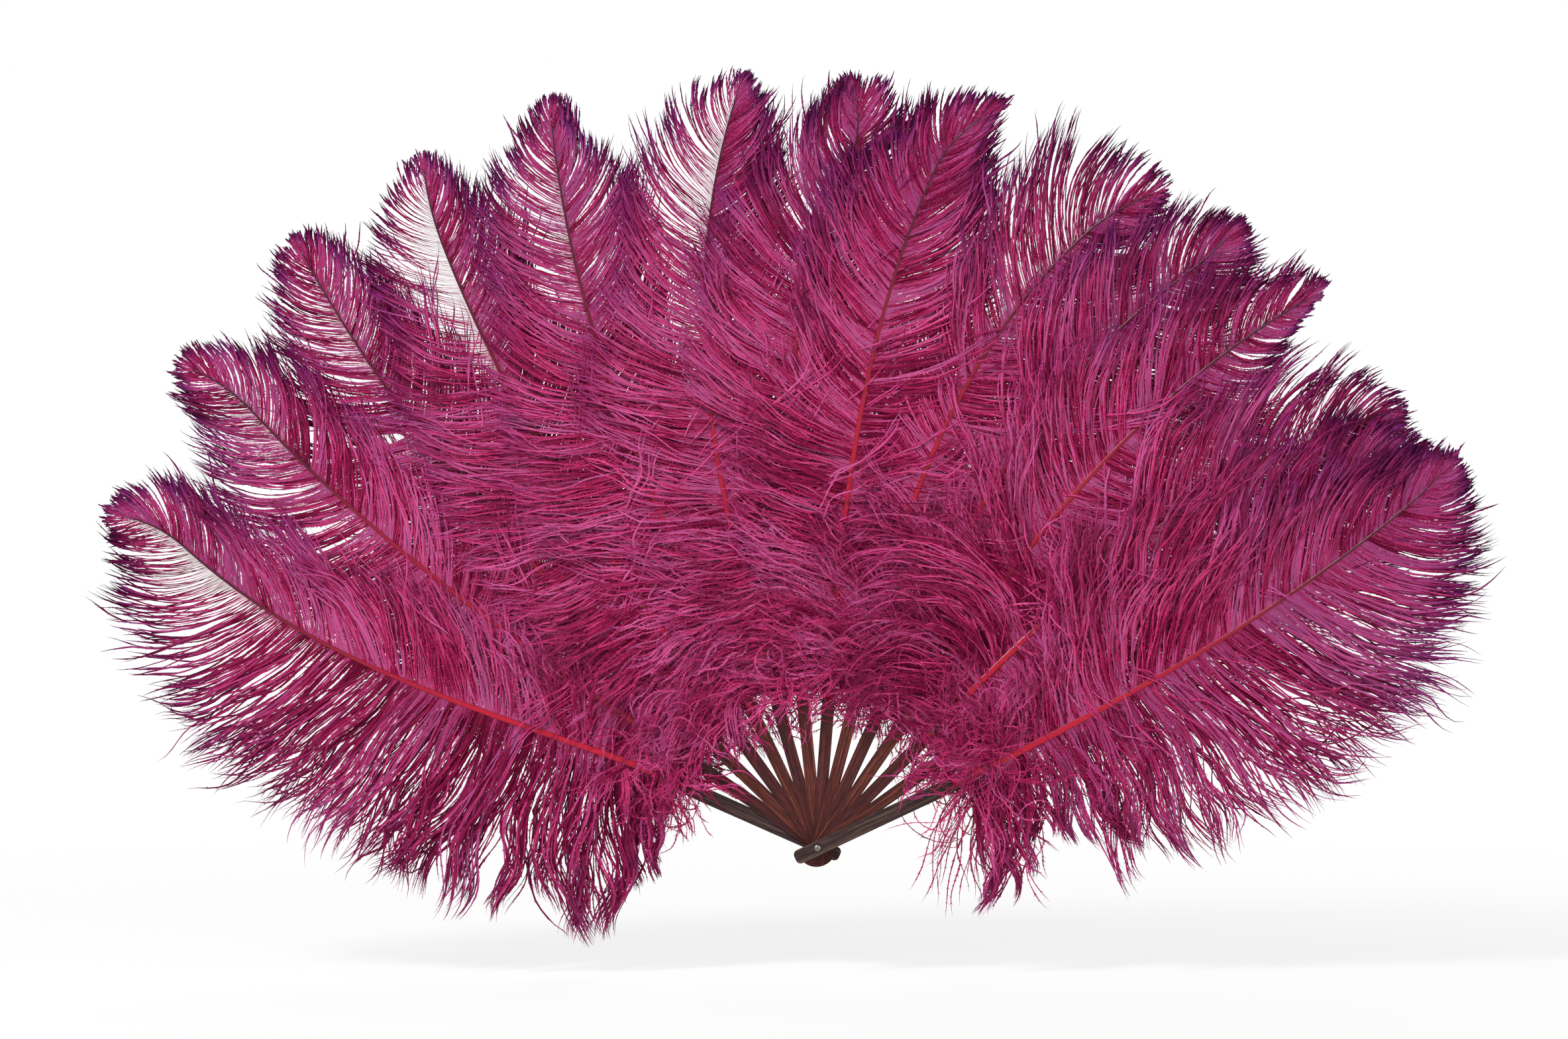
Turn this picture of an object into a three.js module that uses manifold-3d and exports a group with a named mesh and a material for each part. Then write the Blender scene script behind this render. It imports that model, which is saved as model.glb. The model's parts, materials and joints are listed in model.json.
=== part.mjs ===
// An open hand fan of ostrich plumes. Two guards and twelve sticks turn on one rivet through their tails.
// Each blade carries one plume: the quill's base is pared flat, let into a lap in the front of the blade's tip
// and bound there with thread. The plumes' webs are thin shells that all follow one dish about the rivet's axis,
// so that they slide over each other like the blades do when the fan is folded.
// Millimetres, +Z up. The fan stands upright in the XZ plane and faces -Y. The rivet's axis is the Y axis,
// and the origin lies on it, half way through the stack of blades.

import * as THREE from "three";
import { mergeVertices } from "three/addons/utils/BufferGeometryUtils.js";
import Module from "manifold-3d";

const wasm = await Module();
wasm.setup();

// The spread: angles in degrees above the horizontal, seen from the front, with +X at 0
const FRONT_GUARD_ANGLE = 25.3;
const OPEN_ANGLE = 130.7;

// One plume for each blade, from the front guard on the right to the rear guard on the left.
// The longest plumes reach this far from the rivet, and shorter is what another one lacks of that.
// In degrees, lean is how far the tip swings to the left of the blade's line, bow how far the middle does,
// and hook how far the very tip curls on from there.
const LONGEST_PLUME = 522;
const PLUMES = [
  { shorter: 39, lean: 6, bow: 0.8, hook: 0.5 },
  { shorter: 52, lean: -1.5, bow: 0, hook: 0 },
  { shorter: 47, lean: -8.5, bow: 0, hook: 0 },
  { shorter: 32, lean: -7.8, bow: 0, hook: 0 },
  { shorter: 32, lean: -11, bow: 0, hook: 1.5 },
  { shorter: 37, lean: -12.5, bow: 0, hook: -1.5 },
  { shorter: 22, lean: -7.5, bow: 0, hook: -3 },
  { shorter: 22, lean: -11.5, bow: 0, hook: 4 },
  { shorter: 17, lean: -10.5, bow: 0, hook: 0 },
  { shorter: 7, lean: -6.2, bow: 0, hook: 0 },
  { shorter: 5, lean: -5.5, bow: 0, hook: -0.8 },
  { shorter: 0, lean: -5.4, bow: 0, hook: 0 },
  { shorter: 2, lean: -5, bow: 0, hook: 2 },
  { shorter: 12, lean: -4, bow: 3, hook: 3 },
];

// Blades
const STICK_WIDTH = 7.4;
const STICK_SHOULDER_WIDTH = 8.2;
const STICK_TAIL = 13;
const STICK_TAIL_RADIUS = 3.4;
const GUARD_WIDTH = 9.2;
const GUARD_SHOULDER_WIDTH = 9.8;
const GUARD_TAIL = 16;
const GUARD_TAIL_RADIUS = 3.2;
const GUARD_EXTRA_THICKNESS = 0.8;
const TIP_RADIUS = 3;
const GUARD_BEVEL = 0.4;
const BLADE_GAP = 0.2;

// The lap that takes the quill, and the thread round it
const LAP_START = 96;
const LAP_LENGTH = 30;
const TONGUE_THICKNESS = 0.4;
const PARED_THICKNESS = 0.45;
const THREAD_THICKNESS = 0.2;
const BINDING_SETBACK = 8;
const BINDING_LENGTH = 7;
const SEAT_CLEARANCE = 0.08;

// Quills
const QUILL_WIDTH = 5;
const QUILL_THICKNESS = 1.1;
const QUILL_TIP_WIDTH = 0.8;
const QUILL_TIP_THICKNESS = 0.4;

// Plume webs. The passing room keeps the flat facets of neighbouring dished webs clear of each other.
const WEB_THICKNESS = 0.7;
const WEB_PASSING_ROOM = 0.75;
const TUFTS_PER_WEB = 14;
const TUFT_DEPTH = 9;
const QUILL_CLEARANCE = 0.3;
const QUILL_TIP_CLEARANCE = 1;
const BLADE_TIP_CLEARANCE = 2;
const DISH_DEPTH = 28;
const DISH_RADIUS = 520;
// Barb lengths at the web's foot, at its fullest and at its head, and past the quill's tip.
// The outer webs of the two guards' plumes hang, with longer barbs.
const FOOT_BARB = 50;
const FULL_BARB = 84;
const HANGING_FOOT_BARB = 106;
const HANGING_FULL_BARB = 114;
const HEAD_BARB = 22;
const TIP_BARB = 12;
// How far barbs are swept towards the plume's tip at the foot, at the fullest and at the head, in degrees
const FOOT_SWEEP = -20;
const FULL_SWEEP = 40;
const HEAD_SWEEP = 56;
// Where along the web, from its foot (0) to its head (1), barbs have their full length
const FULL_FROM = 0.3;
const FULL_TO = 0.55;
// Where along the shaft its tip starts to hook
const HOOK_FROM = 0.85;
// The notches on both sides of a plume's very tip, in degrees, and the barb length left in them
const CROWN_NOTCH_TURN = 14;
const CROWN_NOTCH_BARB = 8;

// The rivet and the burr that it is peened over
const PIN_RADIUS = 1.1;
const PIN_CLEARANCE = 0.12;
const HEAD_OVERHANG = 1.2;
const HEAD_HEIGHT = 1.1;
const BURR_OVERHANG = 1.7;
const BURR_THICKNESS = 0.6;
const PEEN_OVERHANG = 0.7;
const PEEN_HEIGHT = 0.7;
const RIVET_SEAT_DEPTH = 0.3;
const RIVET_SEAT_MARGIN = 0.5;

// How finely curves are drawn
const ARC_STEPS = 4;
const ROUND_STEPS = 16;
const DOME_STEPS = 4;
const QUILL_SIDES = 6;
const LONGEST_WEB_FACET = 90;

// A stick is as thick as what its bound tip holds: thread, quill, tongue and thread again
const STICK_THICKNESS =
  2 * THREAD_THICKNESS + 3 * SEAT_CLEARANCE + PARED_THICKNESS + TONGUE_THICKNESS;
const GUARD_THICKNESS = STICK_THICKNESS + GUARD_EXTRA_THICKNESS;
const BLADE_COUNT = PLUMES.length;

// Each blade has a layer of the stack to itself, as deep as the thickest thing in it
const PLUME_DEPTH = Math.max(QUILL_THICKNESS, WEB_THICKNESS + WEB_PASSING_ROOM);
const STICK_LAYER = Math.max(STICK_THICKNESS, PLUME_DEPTH) + BLADE_GAP;
const GUARD_LAYER = Math.max(GUARD_THICKNESS, PLUME_DEPTH) + BLADE_GAP;
const REAR_GUARD_FRONT = GUARD_LAYER + (BLADE_COUNT - 2) * STICK_LAYER;
const STACK_THICKNESS = REAR_GUARD_FRONT + GUARD_THICKNESS;

const HEAD_RADIUS = PIN_RADIUS + HEAD_OVERHANG;
const BURR_RADIUS = PIN_RADIUS + BURR_OVERHANG;
const PEEN_RADIUS = PIN_RADIUS + PEEN_OVERHANG;
const BLADE_TIP = LAP_START + LAP_LENGTH;
const BINDING_START = LAP_START + BINDING_SETBACK;
const QUILL_FRONT = THREAD_THICKNESS + SEAT_CLEARANCE;
const LAP_DEPTH = QUILL_FRONT + PARED_THICKNESS + SEAT_CLEARANCE;
const RIVET_SEAT_RADIUS = Math.max(HEAD_RADIUS, BURR_RADIUS) + RIVET_SEAT_MARGIN;
const WEB_START = BLADE_TIP + BLADE_TIP_CLEARANCE;

const radians = THREE.MathUtils.degToRad;
const lerp = THREE.MathUtils.lerp;
const smoothstep = THREE.MathUtils.smoothstep;

const darkWood = new THREE.MeshStandardMaterial({ color: "#4a3a34", roughness: 0.5 });
const redWood = new THREE.MeshStandardMaterial({ color: "#5d3626", roughness: 0.45 });
const keratin = new THREE.MeshStandardMaterial({ color: "#b01030", roughness: 0.25 });
const barbs = new THREE.MeshStandardMaterial({ color: "#97275f", roughness: 0.8 });
const thread = new THREE.MeshStandardMaterial({ color: "#6d1838", roughness: 0.8 });
const steel = new THREE.MeshStandardMaterial({ color: "#c9c6c0", roughness: 0.25, metalness: 1 });

// Solids for cutting, and back to geometry

function solidOf(geometry) {
  const bare = geometry.clone();
  bare.deleteAttribute("normal");
  bare.deleteAttribute("uv");
  const merged = mergeVertices(bare);
  return new wasm.Manifold(
    new wasm.Mesh({
      numProp: 3,
      vertProperties: new Float32Array(merged.attributes.position.array),
      triVerts: new Uint32Array(merged.index.array),
    }),
  );
}

function geometryOf(solid) {
  const mesh = solid.getMesh();
  const geometry = new THREE.BufferGeometry();
  geometry.setAttribute("position", new THREE.BufferAttribute(mesh.vertProperties, 3));
  geometry.setIndex(new THREE.BufferAttribute(mesh.triVerts, 1));
  geometry.computeVertexNormals();
  return geometry;
}

// A flat outline in x and z, given thickness from y = front to y = rear, with its edges taken off by bevel
function slab(shape, front, rear, bevel) {
  const geometry = new THREE.ExtrudeGeometry(shape, {
    depth: rear - front - 2 * bevel,
    curveSegments: ARC_STEPS,
    bevelEnabled: bevel > 0,
    bevelThickness: bevel,
    bevelSize: bevel,
    bevelOffset: -bevel,
    bevelSegments: 1,
  });
  geometry.rotateX(Math.PI / 2);
  geometry.translate(0, rear - bevel, 0);
  return geometry;
}

function block(left, right, bottom, top, front, rear) {
  const geometry = new THREE.BoxGeometry(right - left, rear - front, top - bottom);
  geometry.translate((left + right) / 2, (front + rear) / 2, (bottom + top) / 2);
  return geometry;
}

function disc(radius, front, rear) {
  const geometry = new THREE.CylinderGeometry(radius, radius, rear - front, ROUND_STEPS);
  geometry.translate(0, (front + rear) / 2, 0);
  return geometry;
}

// Blades, with the rivet at the origin, the tip up +Z and the front face at y = 0

function bladeOutline(width, shoulderWidth, tail, tailRadius) {
  const half = width / 2;
  const shoulder = shoulderWidth / 2;
  const corner = Math.min(tailRadius, half);
  const tip = Math.min(TIP_RADIUS, shoulder);
  const shape = new THREE.Shape();
  shape.absarc(-half + corner, -tail + corner, corner, Math.PI, 1.5 * Math.PI);
  shape.absarc(half - corner, -tail + corner, corner, 1.5 * Math.PI, 2 * Math.PI);
  shape.lineTo(shoulder, LAP_START);
  shape.absarc(shoulder - tip, BLADE_TIP - tip, tip, 0, 0.5 * Math.PI);
  shape.absarc(-shoulder + tip, BLADE_TIP - tip, tip, 0.5 * Math.PI, Math.PI);
  shape.lineTo(-shoulder, LAP_START);
  shape.closePath();
  return shape;
}

function blade(outline, thickness, shoulderWidth, bevel) {
  const beyond = shoulderWidth;
  const waist = QUILL_WIDTH / 2;
  const notchBottom = BINDING_START - SEAT_CLEARANCE;
  const notchTop = BINDING_START + BINDING_LENGTH + SEAT_CLEARANCE;
  const rearRecess = thickness - THREAD_THICKNESS - SEAT_CLEARANCE;
  const cuts = [
    block(-beyond, beyond, LAP_START, BLADE_TIP + beyond, -beyond, LAP_DEPTH),
    block(-beyond, -waist, notchBottom, notchTop, -beyond, thickness + beyond),
    block(waist, beyond, notchBottom, notchTop, -beyond, thickness + beyond),
    block(-beyond, beyond, notchBottom, notchTop, rearRecess, thickness + beyond),
    disc(PIN_RADIUS + PIN_CLEARANCE, -beyond, thickness + beyond),
  ];
  let body = solidOf(slab(outline, 0, thickness, bevel));
  for (const cut of cuts) {
    body = body.subtract(solidOf(cut));
  }
  return body;
}

function stick() {
  const outline = bladeOutline(STICK_WIDTH, STICK_SHOULDER_WIDTH, STICK_TAIL, STICK_TAIL_RADIUS);
  return geometryOf(blade(outline, STICK_THICKNESS, STICK_SHOULDER_WIDTH, 0));
}

// A guard is a wider, thicker blade with its edges taken off and a shallow round seat for the rivet
function guard(seatFront, seatRear) {
  const outline = bladeOutline(GUARD_WIDTH, GUARD_SHOULDER_WIDTH, GUARD_TAIL, GUARD_TAIL_RADIUS);
  const body = blade(outline, GUARD_THICKNESS, GUARD_SHOULDER_WIDTH, GUARD_BEVEL);
  return geometryOf(body.subtract(solidOf(disc(RIVET_SEAT_RADIUS, seatFront, seatRear))));
}

// Thread wound round the pared quill and the tongue behind it, drawn as one close band
function binding(thickness) {
  const half = QUILL_WIDTH / 2 + SEAT_CLEARANCE;
  const outer = half + THREAD_THICKNESS;
  const corner = THREAD_THICKNESS;
  const shape = new THREE.Shape();
  shape.absarc(-outer + corner, corner, corner, Math.PI, 1.5 * Math.PI);
  shape.absarc(outer - corner, corner, corner, 1.5 * Math.PI, 2 * Math.PI);
  shape.absarc(outer - corner, thickness - corner, corner, 0, 0.5 * Math.PI);
  shape.absarc(-outer + corner, thickness - corner, corner, 0.5 * Math.PI, Math.PI);
  shape.closePath();
  const inside = new THREE.Path();
  inside.moveTo(-half, THREAD_THICKNESS);
  inside.lineTo(-half, thickness - THREAD_THICKNESS);
  inside.lineTo(half, thickness - THREAD_THICKNESS);
  inside.lineTo(half, THREAD_THICKNESS);
  inside.closePath();
  shape.holes.push(inside);
  const geometry = new THREE.ExtrudeGeometry(shape, {
    depth: BINDING_LENGTH,
    curveSegments: 1,
    bevelEnabled: false,
  });
  geometry.translate(0, 0, BINDING_START);
  return geometry;
}

// Plumes

// How far the plumes curl towards the front at a distance from the rivet
function dish(radius) {
  const share = Math.max(0, radius - BLADE_TIP) / (DISH_RADIUS - BLADE_TIP);
  return DISH_DEPTH * share * share;
}

// Distances from the rivet to a plume's tip and to its quill's tip
function reach(plume) {
  return LONGEST_PLUME - plume.shorter;
}

function quillTip(plume) {
  return reach(plume) - TIP_BARB;
}

// Distance from the rivet to the root of a tuft of barbs, counted from the web's foot
function tuftRadius(plume, tuft) {
  return lerp(WEB_START, quillTip(plume), tuft / TUFTS_PER_WEB);
}

// A point of the shaft's line in x and z, at a distance from the rivet
function shaftPoint(plume, radius) {
  const share = Math.max(0, radius - BLADE_TIP) / (reach(plume) - BLADE_TIP);
  const end = Math.max(0, share - HOOK_FROM) / (1 - HOOK_FROM);
  const bow = plume.bow * 4 * share * (1 - share);
  const turn = radians(plume.lean * share * share + bow + plume.hook * end * end);
  return new THREE.Vector2(-radius * Math.sin(turn), radius * Math.cos(turn));
}

function shaftDirection(plume, radius) {
  const step = 0.5;
  return shaftPoint(plume, radius + step).sub(shaftPoint(plume, radius - step)).normalize();
}

// Half the quill's width: full over the blade, then an even taper to its tip
function quillHalfWidth(plume, radius) {
  const share = Math.max(0, radius - BLADE_TIP) / (quillTip(plume) - BLADE_TIP);
  return lerp(QUILL_WIDTH, QUILL_TIP_WIDTH, share) / 2;
}

// Closed skin round a row of rings with equal numbers of points
function loft(rings) {
  const sides = rings[0].length;
  const positions = [];
  const faces = [];
  for (const ring of rings) {
    for (const point of ring) {
      positions.push(point.x, point.y, point.z);
    }
  }
  for (let row = 0; row + 1 < rings.length; row += 1) {
    for (let side = 0; side < sides; side += 1) {
      const next = (side + 1) % sides;
      const here = row * sides;
      const above = here + sides;
      faces.push(here + side, here + next, above + next);
      faces.push(here + side, above + next, above + side);
    }
  }
  const last = (rings.length - 1) * sides;
  for (let side = 1; side + 1 < sides; side += 1) {
    faces.push(0, side + 1, side);
    faces.push(last, last + side, last + side + 1);
  }
  return indexed(positions, faces);
}

function indexed(positions, faces) {
  const geometry = new THREE.BufferGeometry();
  geometry.setAttribute("position", new THREE.Float32BufferAttribute(positions, 3));
  geometry.setIndex(faces);
  geometry.computeVertexNormals();
  return geometry;
}

function quillRing(plume, radius, level, thickness) {
  const centre = shaftPoint(plume, radius);
  const along = shaftDirection(plume, radius);
  const half = quillHalfWidth(plume, radius);
  const ring = [];
  for (let side = 0; side < QUILL_SIDES; side += 1) {
    const angle = (2 * Math.PI * (side + 0.5)) / QUILL_SIDES;
    const across = half * Math.cos(angle);
    const deep = (thickness / 2) * Math.sin(angle);
    ring.push(
      new THREE.Vector3(centre.x + along.y * across, level + deep, centre.y - along.x * across),
    );
  }
  return ring;
}

// The shaft: pared flat in the lap, swelling to a full section at the first tuft and tapering to the tip
function quill(plume) {
  const flatLevel = QUILL_FRONT + PARED_THICKNESS / 2;
  const rings = [];
  for (const radius of [LAP_START + SEAT_CLEARANCE, WEB_START]) {
    rings.push(quillRing(plume, radius, flatLevel, PARED_THICKNESS));
  }
  for (let tuft = 1; tuft <= TUFTS_PER_WEB; tuft += 1) {
    const radius = tuftRadius(plume, tuft);
    const thickness = lerp(QUILL_THICKNESS, QUILL_TIP_THICKNESS, tuft / TUFTS_PER_WEB);
    rings.push(quillRing(plume, radius, STICK_THICKNESS / 2 - dish(radius), thickness));
  }
  return loft(rings);
}

// A measure of the barbs that changes along a web, from its foot (share 0) through its full part to its head (1)
function alongWeb(share, foot, full, head) {
  const past = Math.max(0, share - FULL_TO) / (1 - FULL_TO);
  const rising = lerp(foot, full, smoothstep(share, 0, FULL_FROM));
  return lerp(rising, head, past * past);
}

function barbLength(share, hangs) {
  const foot = hangs ? HANGING_FOOT_BARB : FOOT_BARB;
  const full = hangs ? HANGING_FULL_BARB : FULL_BARB;
  return alongWeb(share, foot, full, HEAD_BARB);
}

// Where a web starts beside the quill, at a whole tuft
function webRoot(plume, side, tuft) {
  const radius = tuftRadius(plume, tuft);
  const along = shaftDirection(plume, radius);
  const across = new THREE.Vector2(along.y, -along.x);
  const offset = side * (quillHalfWidth(plume, radius) + QUILL_CLEARANCE);
  return shaftPoint(plume, radius).addScaledVector(across, offset);
}

// Lays a plan of triangles, anticlockwise in x and z, on the dish and gives it thickness
function shell(points, plan, level, thickness) {
  const count = points.length;
  const positions = [];
  for (const side of [-0.5, 0.5]) {
    for (const point of points) {
      positions.push(point.x, level - dish(point.length()) + side * thickness, point.y);
    }
  }
  const faces = [];
  const edges = new Set();
  for (const [a, b, c] of plan) {
    faces.push(a, b, c, count + a, count + c, count + b);
    for (const [from, to] of [[a, b], [b, c], [c, a]]) {
      edges.add(`${from} ${to}`);
    }
  }
  for (const edge of edges) {
    const [from, to] = edge.split(" ").map(Number);
    if (!edges.has(`${to} ${from}`)) {
      faces.push(to, from, count + from, to, count + from, count + to);
    }
  }
  return indexed(positions, faces);
}

// The webs on both sides of a shaft, joined past its tip. Their edges are notched into tufts of barbs.
function web(plume, leftHangs, rightHangs) {
  const points = [];
  const plan = [];
  const stations = 2 * TUFTS_PER_WEB;
  const tipRows = [];
  for (const side of [1, -1]) {
    const hangs = side > 0 ? rightHangs : leftHangs;
    const longest = hangs ? HANGING_FULL_BARB : FULL_BARB;
    const rows = Math.ceil(longest / LONGEST_WEB_FACET);
    const first = points.length;
    for (let station = 0; station <= stations; station += 1) {
      const tuft = station / 2;
      const share = station / stations;
      const radius = tuftRadius(plume, tuft);
      const along = shaftDirection(plume, radius);
      const across = new THREE.Vector2(along.y, -along.x).multiplyScalar(side);
      const notch = station % 2 === 1 ? TUFT_DEPTH : 0;
      const barb = barbLength(share, hangs) - notch;
      const sweep = radians(alongWeb(share, FOOT_SWEEP, FULL_SWEEP, HEAD_SWEEP));
      const above = webRoot(plume, side, Math.ceil(tuft));
      const root = webRoot(plume, side, Math.floor(tuft)).lerp(above, tuft % 1);
      const end = shaftPoint(plume, radius)
        .addScaledVector(across, barb * Math.cos(sweep))
        .addScaledVector(along, barb * Math.sin(sweep));
      for (let row = 0; row <= rows; row += 1) {
        points.push(root.clone().lerp(end, row / rows));
      }
    }
    const width = rows + 1;
    for (let station = 0; station < stations; station += 1) {
      for (let row = 0; row < rows; row += 1) {
        const low = first + station * width + row;
        const high = low + width;
        const quad = [low, low + 1, high + 1, high];
        const [a, b, c, d] = side > 0 ? quad : quad.reverse();
        plan.push([a, b, c], [a, c, d]);
      }
    }
    const lastRow = [];
    for (let row = 0; row <= rows; row += 1) {
      lastRow.push(first + stations * width + row);
    }
    tipRows.push(side > 0 ? lastRow : lastRow.reverse());
  }
  const tip = quillTip(plume);
  const end = shaftPoint(plume, tip);
  const along = shaftDirection(plume, tip);
  const across = new THREE.Vector2(along.y, -along.x);
  const crown = [];
  for (const side of [1, 0, -1]) {
    const turn = radians(side * CROWN_NOTCH_TURN);
    const barb = side === 0 ? TIP_BARB : CROWN_NOTCH_BARB;
    crown.push(points.length);
    points.push(
      end
        .clone()
        .addScaledVector(along, barb * Math.cos(turn))
        .addScaledVector(across, barb * Math.sin(turn)),
    );
  }
  const hub = points.length;
  points.push(end.clone().addScaledVector(along, QUILL_TIP_CLEARANCE));
  const rim = [...tipRows[0], ...crown, ...tipRows[1]];
  for (let index = 0; index + 1 < rim.length; index += 1) {
    plan.push([hub, rim[index], rim[index + 1]]);
  }
  return shell(points, plan, STICK_THICKNESS / 2, WEB_THICKNESS);
}

// The rivet, turned about Y: domed head, pin and peened end

function dome(radius, height, base, outward) {
  const points = [];
  for (let step = 0; step <= DOME_STEPS; step += 1) {
    const angle = (0.5 * Math.PI * step) / DOME_STEPS;
    points.push(
      new THREE.Vector2(radius * Math.cos(angle), base + outward * height * Math.sin(angle)),
    );
  }
  points[DOME_STEPS].x = 0;
  return points;
}

const headBase = -STACK_THICKNESS / 2 + RIVET_SEAT_DEPTH - SEAT_CLEARANCE;
const burrFront = STACK_THICKNESS / 2 - RIVET_SEAT_DEPTH + SEAT_CLEARANCE;
const burrRear = burrFront + BURR_THICKNESS;
const peenBase = burrRear + SEAT_CLEARANCE;

function rivet() {
  const head = dome(HEAD_RADIUS, HEAD_HEIGHT, headBase, -1).reverse();
  const pin = [new THREE.Vector2(PIN_RADIUS, headBase), new THREE.Vector2(PIN_RADIUS, peenBase)];
  const peen = dome(PEEN_RADIUS, PEEN_HEIGHT, peenBase, 1);
  return new THREE.LatheGeometry([...head, ...pin, ...peen], ROUND_STEPS);
}

function burr() {
  const inner = PIN_RADIUS + PIN_CLEARANCE;
  const profile = [
    new THREE.Vector2(inner, burrFront),
    new THREE.Vector2(BURR_RADIUS, burrFront),
    new THREE.Vector2(BURR_RADIUS, burrRear),
    new THREE.Vector2(inner, burrRear),
    new THREE.Vector2(inner, burrFront),
  ];
  return new THREE.LatheGeometry(profile, ROUND_STEPS);
}

// The assembly

function named(name, geometry, material) {
  const mesh = new THREE.Mesh(geometry, material);
  mesh.name = name;
  return mesh;
}

const fan = new THREE.Group();
fan.name = "feather_fan";
fan.add(named("rivet", rivet(), steel));
fan.add(named("rivet_burr", burr(), steel));

PLUMES.forEach((plume, index) => {
  const isFront = index === 0;
  const isRear = index === BLADE_COUNT - 1;
  const isGuard = isFront || isRear;
  const thickness = isGuard ? GUARD_THICKNESS : STICK_THICKNESS;
  const number = String(index).padStart(2, "0");
  const label = isFront ? "front" : isRear ? "rear" : number;
  const group = new THREE.Group();
  const angle = FRONT_GUARD_ANGLE + (OPEN_ANGLE * index) / (BLADE_COUNT - 1);
  const depth = isFront ? 0 : GUARD_LAYER + (index - 1) * STICK_LAYER;
  group.rotation.y = radians(90 - angle);
  group.position.y = depth - STACK_THICKNESS / 2;
  if (isFront) {
    group.add(named("front_guard", guard(-GUARD_THICKNESS, RIVET_SEAT_DEPTH), darkWood));
  } else if (isRear) {
    const seat = GUARD_THICKNESS - RIVET_SEAT_DEPTH;
    group.add(named("rear_guard", guard(seat, 2 * GUARD_THICKNESS), darkWood));
  } else {
    group.add(named(`stick_${number}`, stick(), index % 2 ? redWood : darkWood));
  }
  group.add(named(`quill_${label}`, quill(plume), keratin));
  group.add(named(`binding_${label}`, binding(thickness), thread));
  group.add(named(`plume_${label}`, web(plume, isRear, isFront), barbs));
  fan.add(group);
});

export default fan;
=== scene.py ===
# %% [markdown]
# # A folding fan of dyed ostrich plumes
#
# Fourteen wooden blades turn on one rivet, and each blade carries one long plume. The wood and the
# small washer at the back come from the fan's CAD frame, and all other pieces are fitted to it. The plumes
# are what the eye sees first, so most of this lesson grows feathers: a glossy shaft, about two thousand
# barbs along it, and fine barbules along every barb.
#
# Loading the frame comes first, because everything below is placed by its nodes, mounts and joints.

# %% Load the frame
import json
import math
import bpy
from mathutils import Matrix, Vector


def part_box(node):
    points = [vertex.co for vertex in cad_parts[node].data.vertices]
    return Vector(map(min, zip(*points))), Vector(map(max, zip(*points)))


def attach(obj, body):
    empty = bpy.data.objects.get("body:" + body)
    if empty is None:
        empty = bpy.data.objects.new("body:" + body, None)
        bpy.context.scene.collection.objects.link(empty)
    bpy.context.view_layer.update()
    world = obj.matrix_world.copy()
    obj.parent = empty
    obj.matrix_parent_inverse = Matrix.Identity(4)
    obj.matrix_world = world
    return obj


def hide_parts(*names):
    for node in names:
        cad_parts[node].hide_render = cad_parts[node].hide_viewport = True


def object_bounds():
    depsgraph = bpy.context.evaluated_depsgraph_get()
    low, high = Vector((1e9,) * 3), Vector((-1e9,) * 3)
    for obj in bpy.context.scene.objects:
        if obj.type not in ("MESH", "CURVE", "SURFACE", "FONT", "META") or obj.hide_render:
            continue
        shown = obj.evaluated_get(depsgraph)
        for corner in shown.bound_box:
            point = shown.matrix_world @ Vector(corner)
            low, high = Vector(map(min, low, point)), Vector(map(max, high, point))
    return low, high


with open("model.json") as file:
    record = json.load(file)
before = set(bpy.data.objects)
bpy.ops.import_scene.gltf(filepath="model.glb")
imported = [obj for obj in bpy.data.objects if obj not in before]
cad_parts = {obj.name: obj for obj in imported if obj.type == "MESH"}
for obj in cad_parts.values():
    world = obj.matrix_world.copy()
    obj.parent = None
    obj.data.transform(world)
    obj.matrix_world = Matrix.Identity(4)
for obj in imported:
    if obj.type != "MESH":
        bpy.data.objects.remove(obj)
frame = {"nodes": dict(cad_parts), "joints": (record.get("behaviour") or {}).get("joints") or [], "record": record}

from types import SimpleNamespace

import bpy
import numpy as np
from mathutils import Vector

cad_box = [list(corner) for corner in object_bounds()]
print("CAD box in metres:", cad_box)

# %% [markdown]
# ## Where the blades are
#
# The front guard points along its face mount, and the fold's range says how far the rear guard stands from
# it. The blades between them share that angle out evenly, so no blade's place has to be typed. Seen from
# the front, the first blade is on the right. Lengths here are in millimetres, because plumes are easier to
# judge that way, and they turn into metres only when a mesh is written.

# %% Blades
MM = 0.001
STICK_COUNT = 12

mounts = {mount["name"]: mount for mount in frame["record"]["mounts"]}
joints = {joint["name"]: joint for joint in frame["joints"]}
guard_point = mounts["front_guard_face"]["pos_m"]
FRONT_ANGLE = math.degrees(math.atan2(guard_point[2], guard_point[0]))
OPEN_ANGLE = joints["fan_fold"]["range_deg"][1]

numbers = [f"{number:02d}" for number in range(1, STICK_COUNT + 1)]
labels = ["front", *numbers, "rear"]
blades = ["front_guard", *(f"stick_{number}" for number in numbers), "rear_guard"]
print(len(blades), "blades, open over", OPEN_ANGLE, "degrees")

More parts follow.
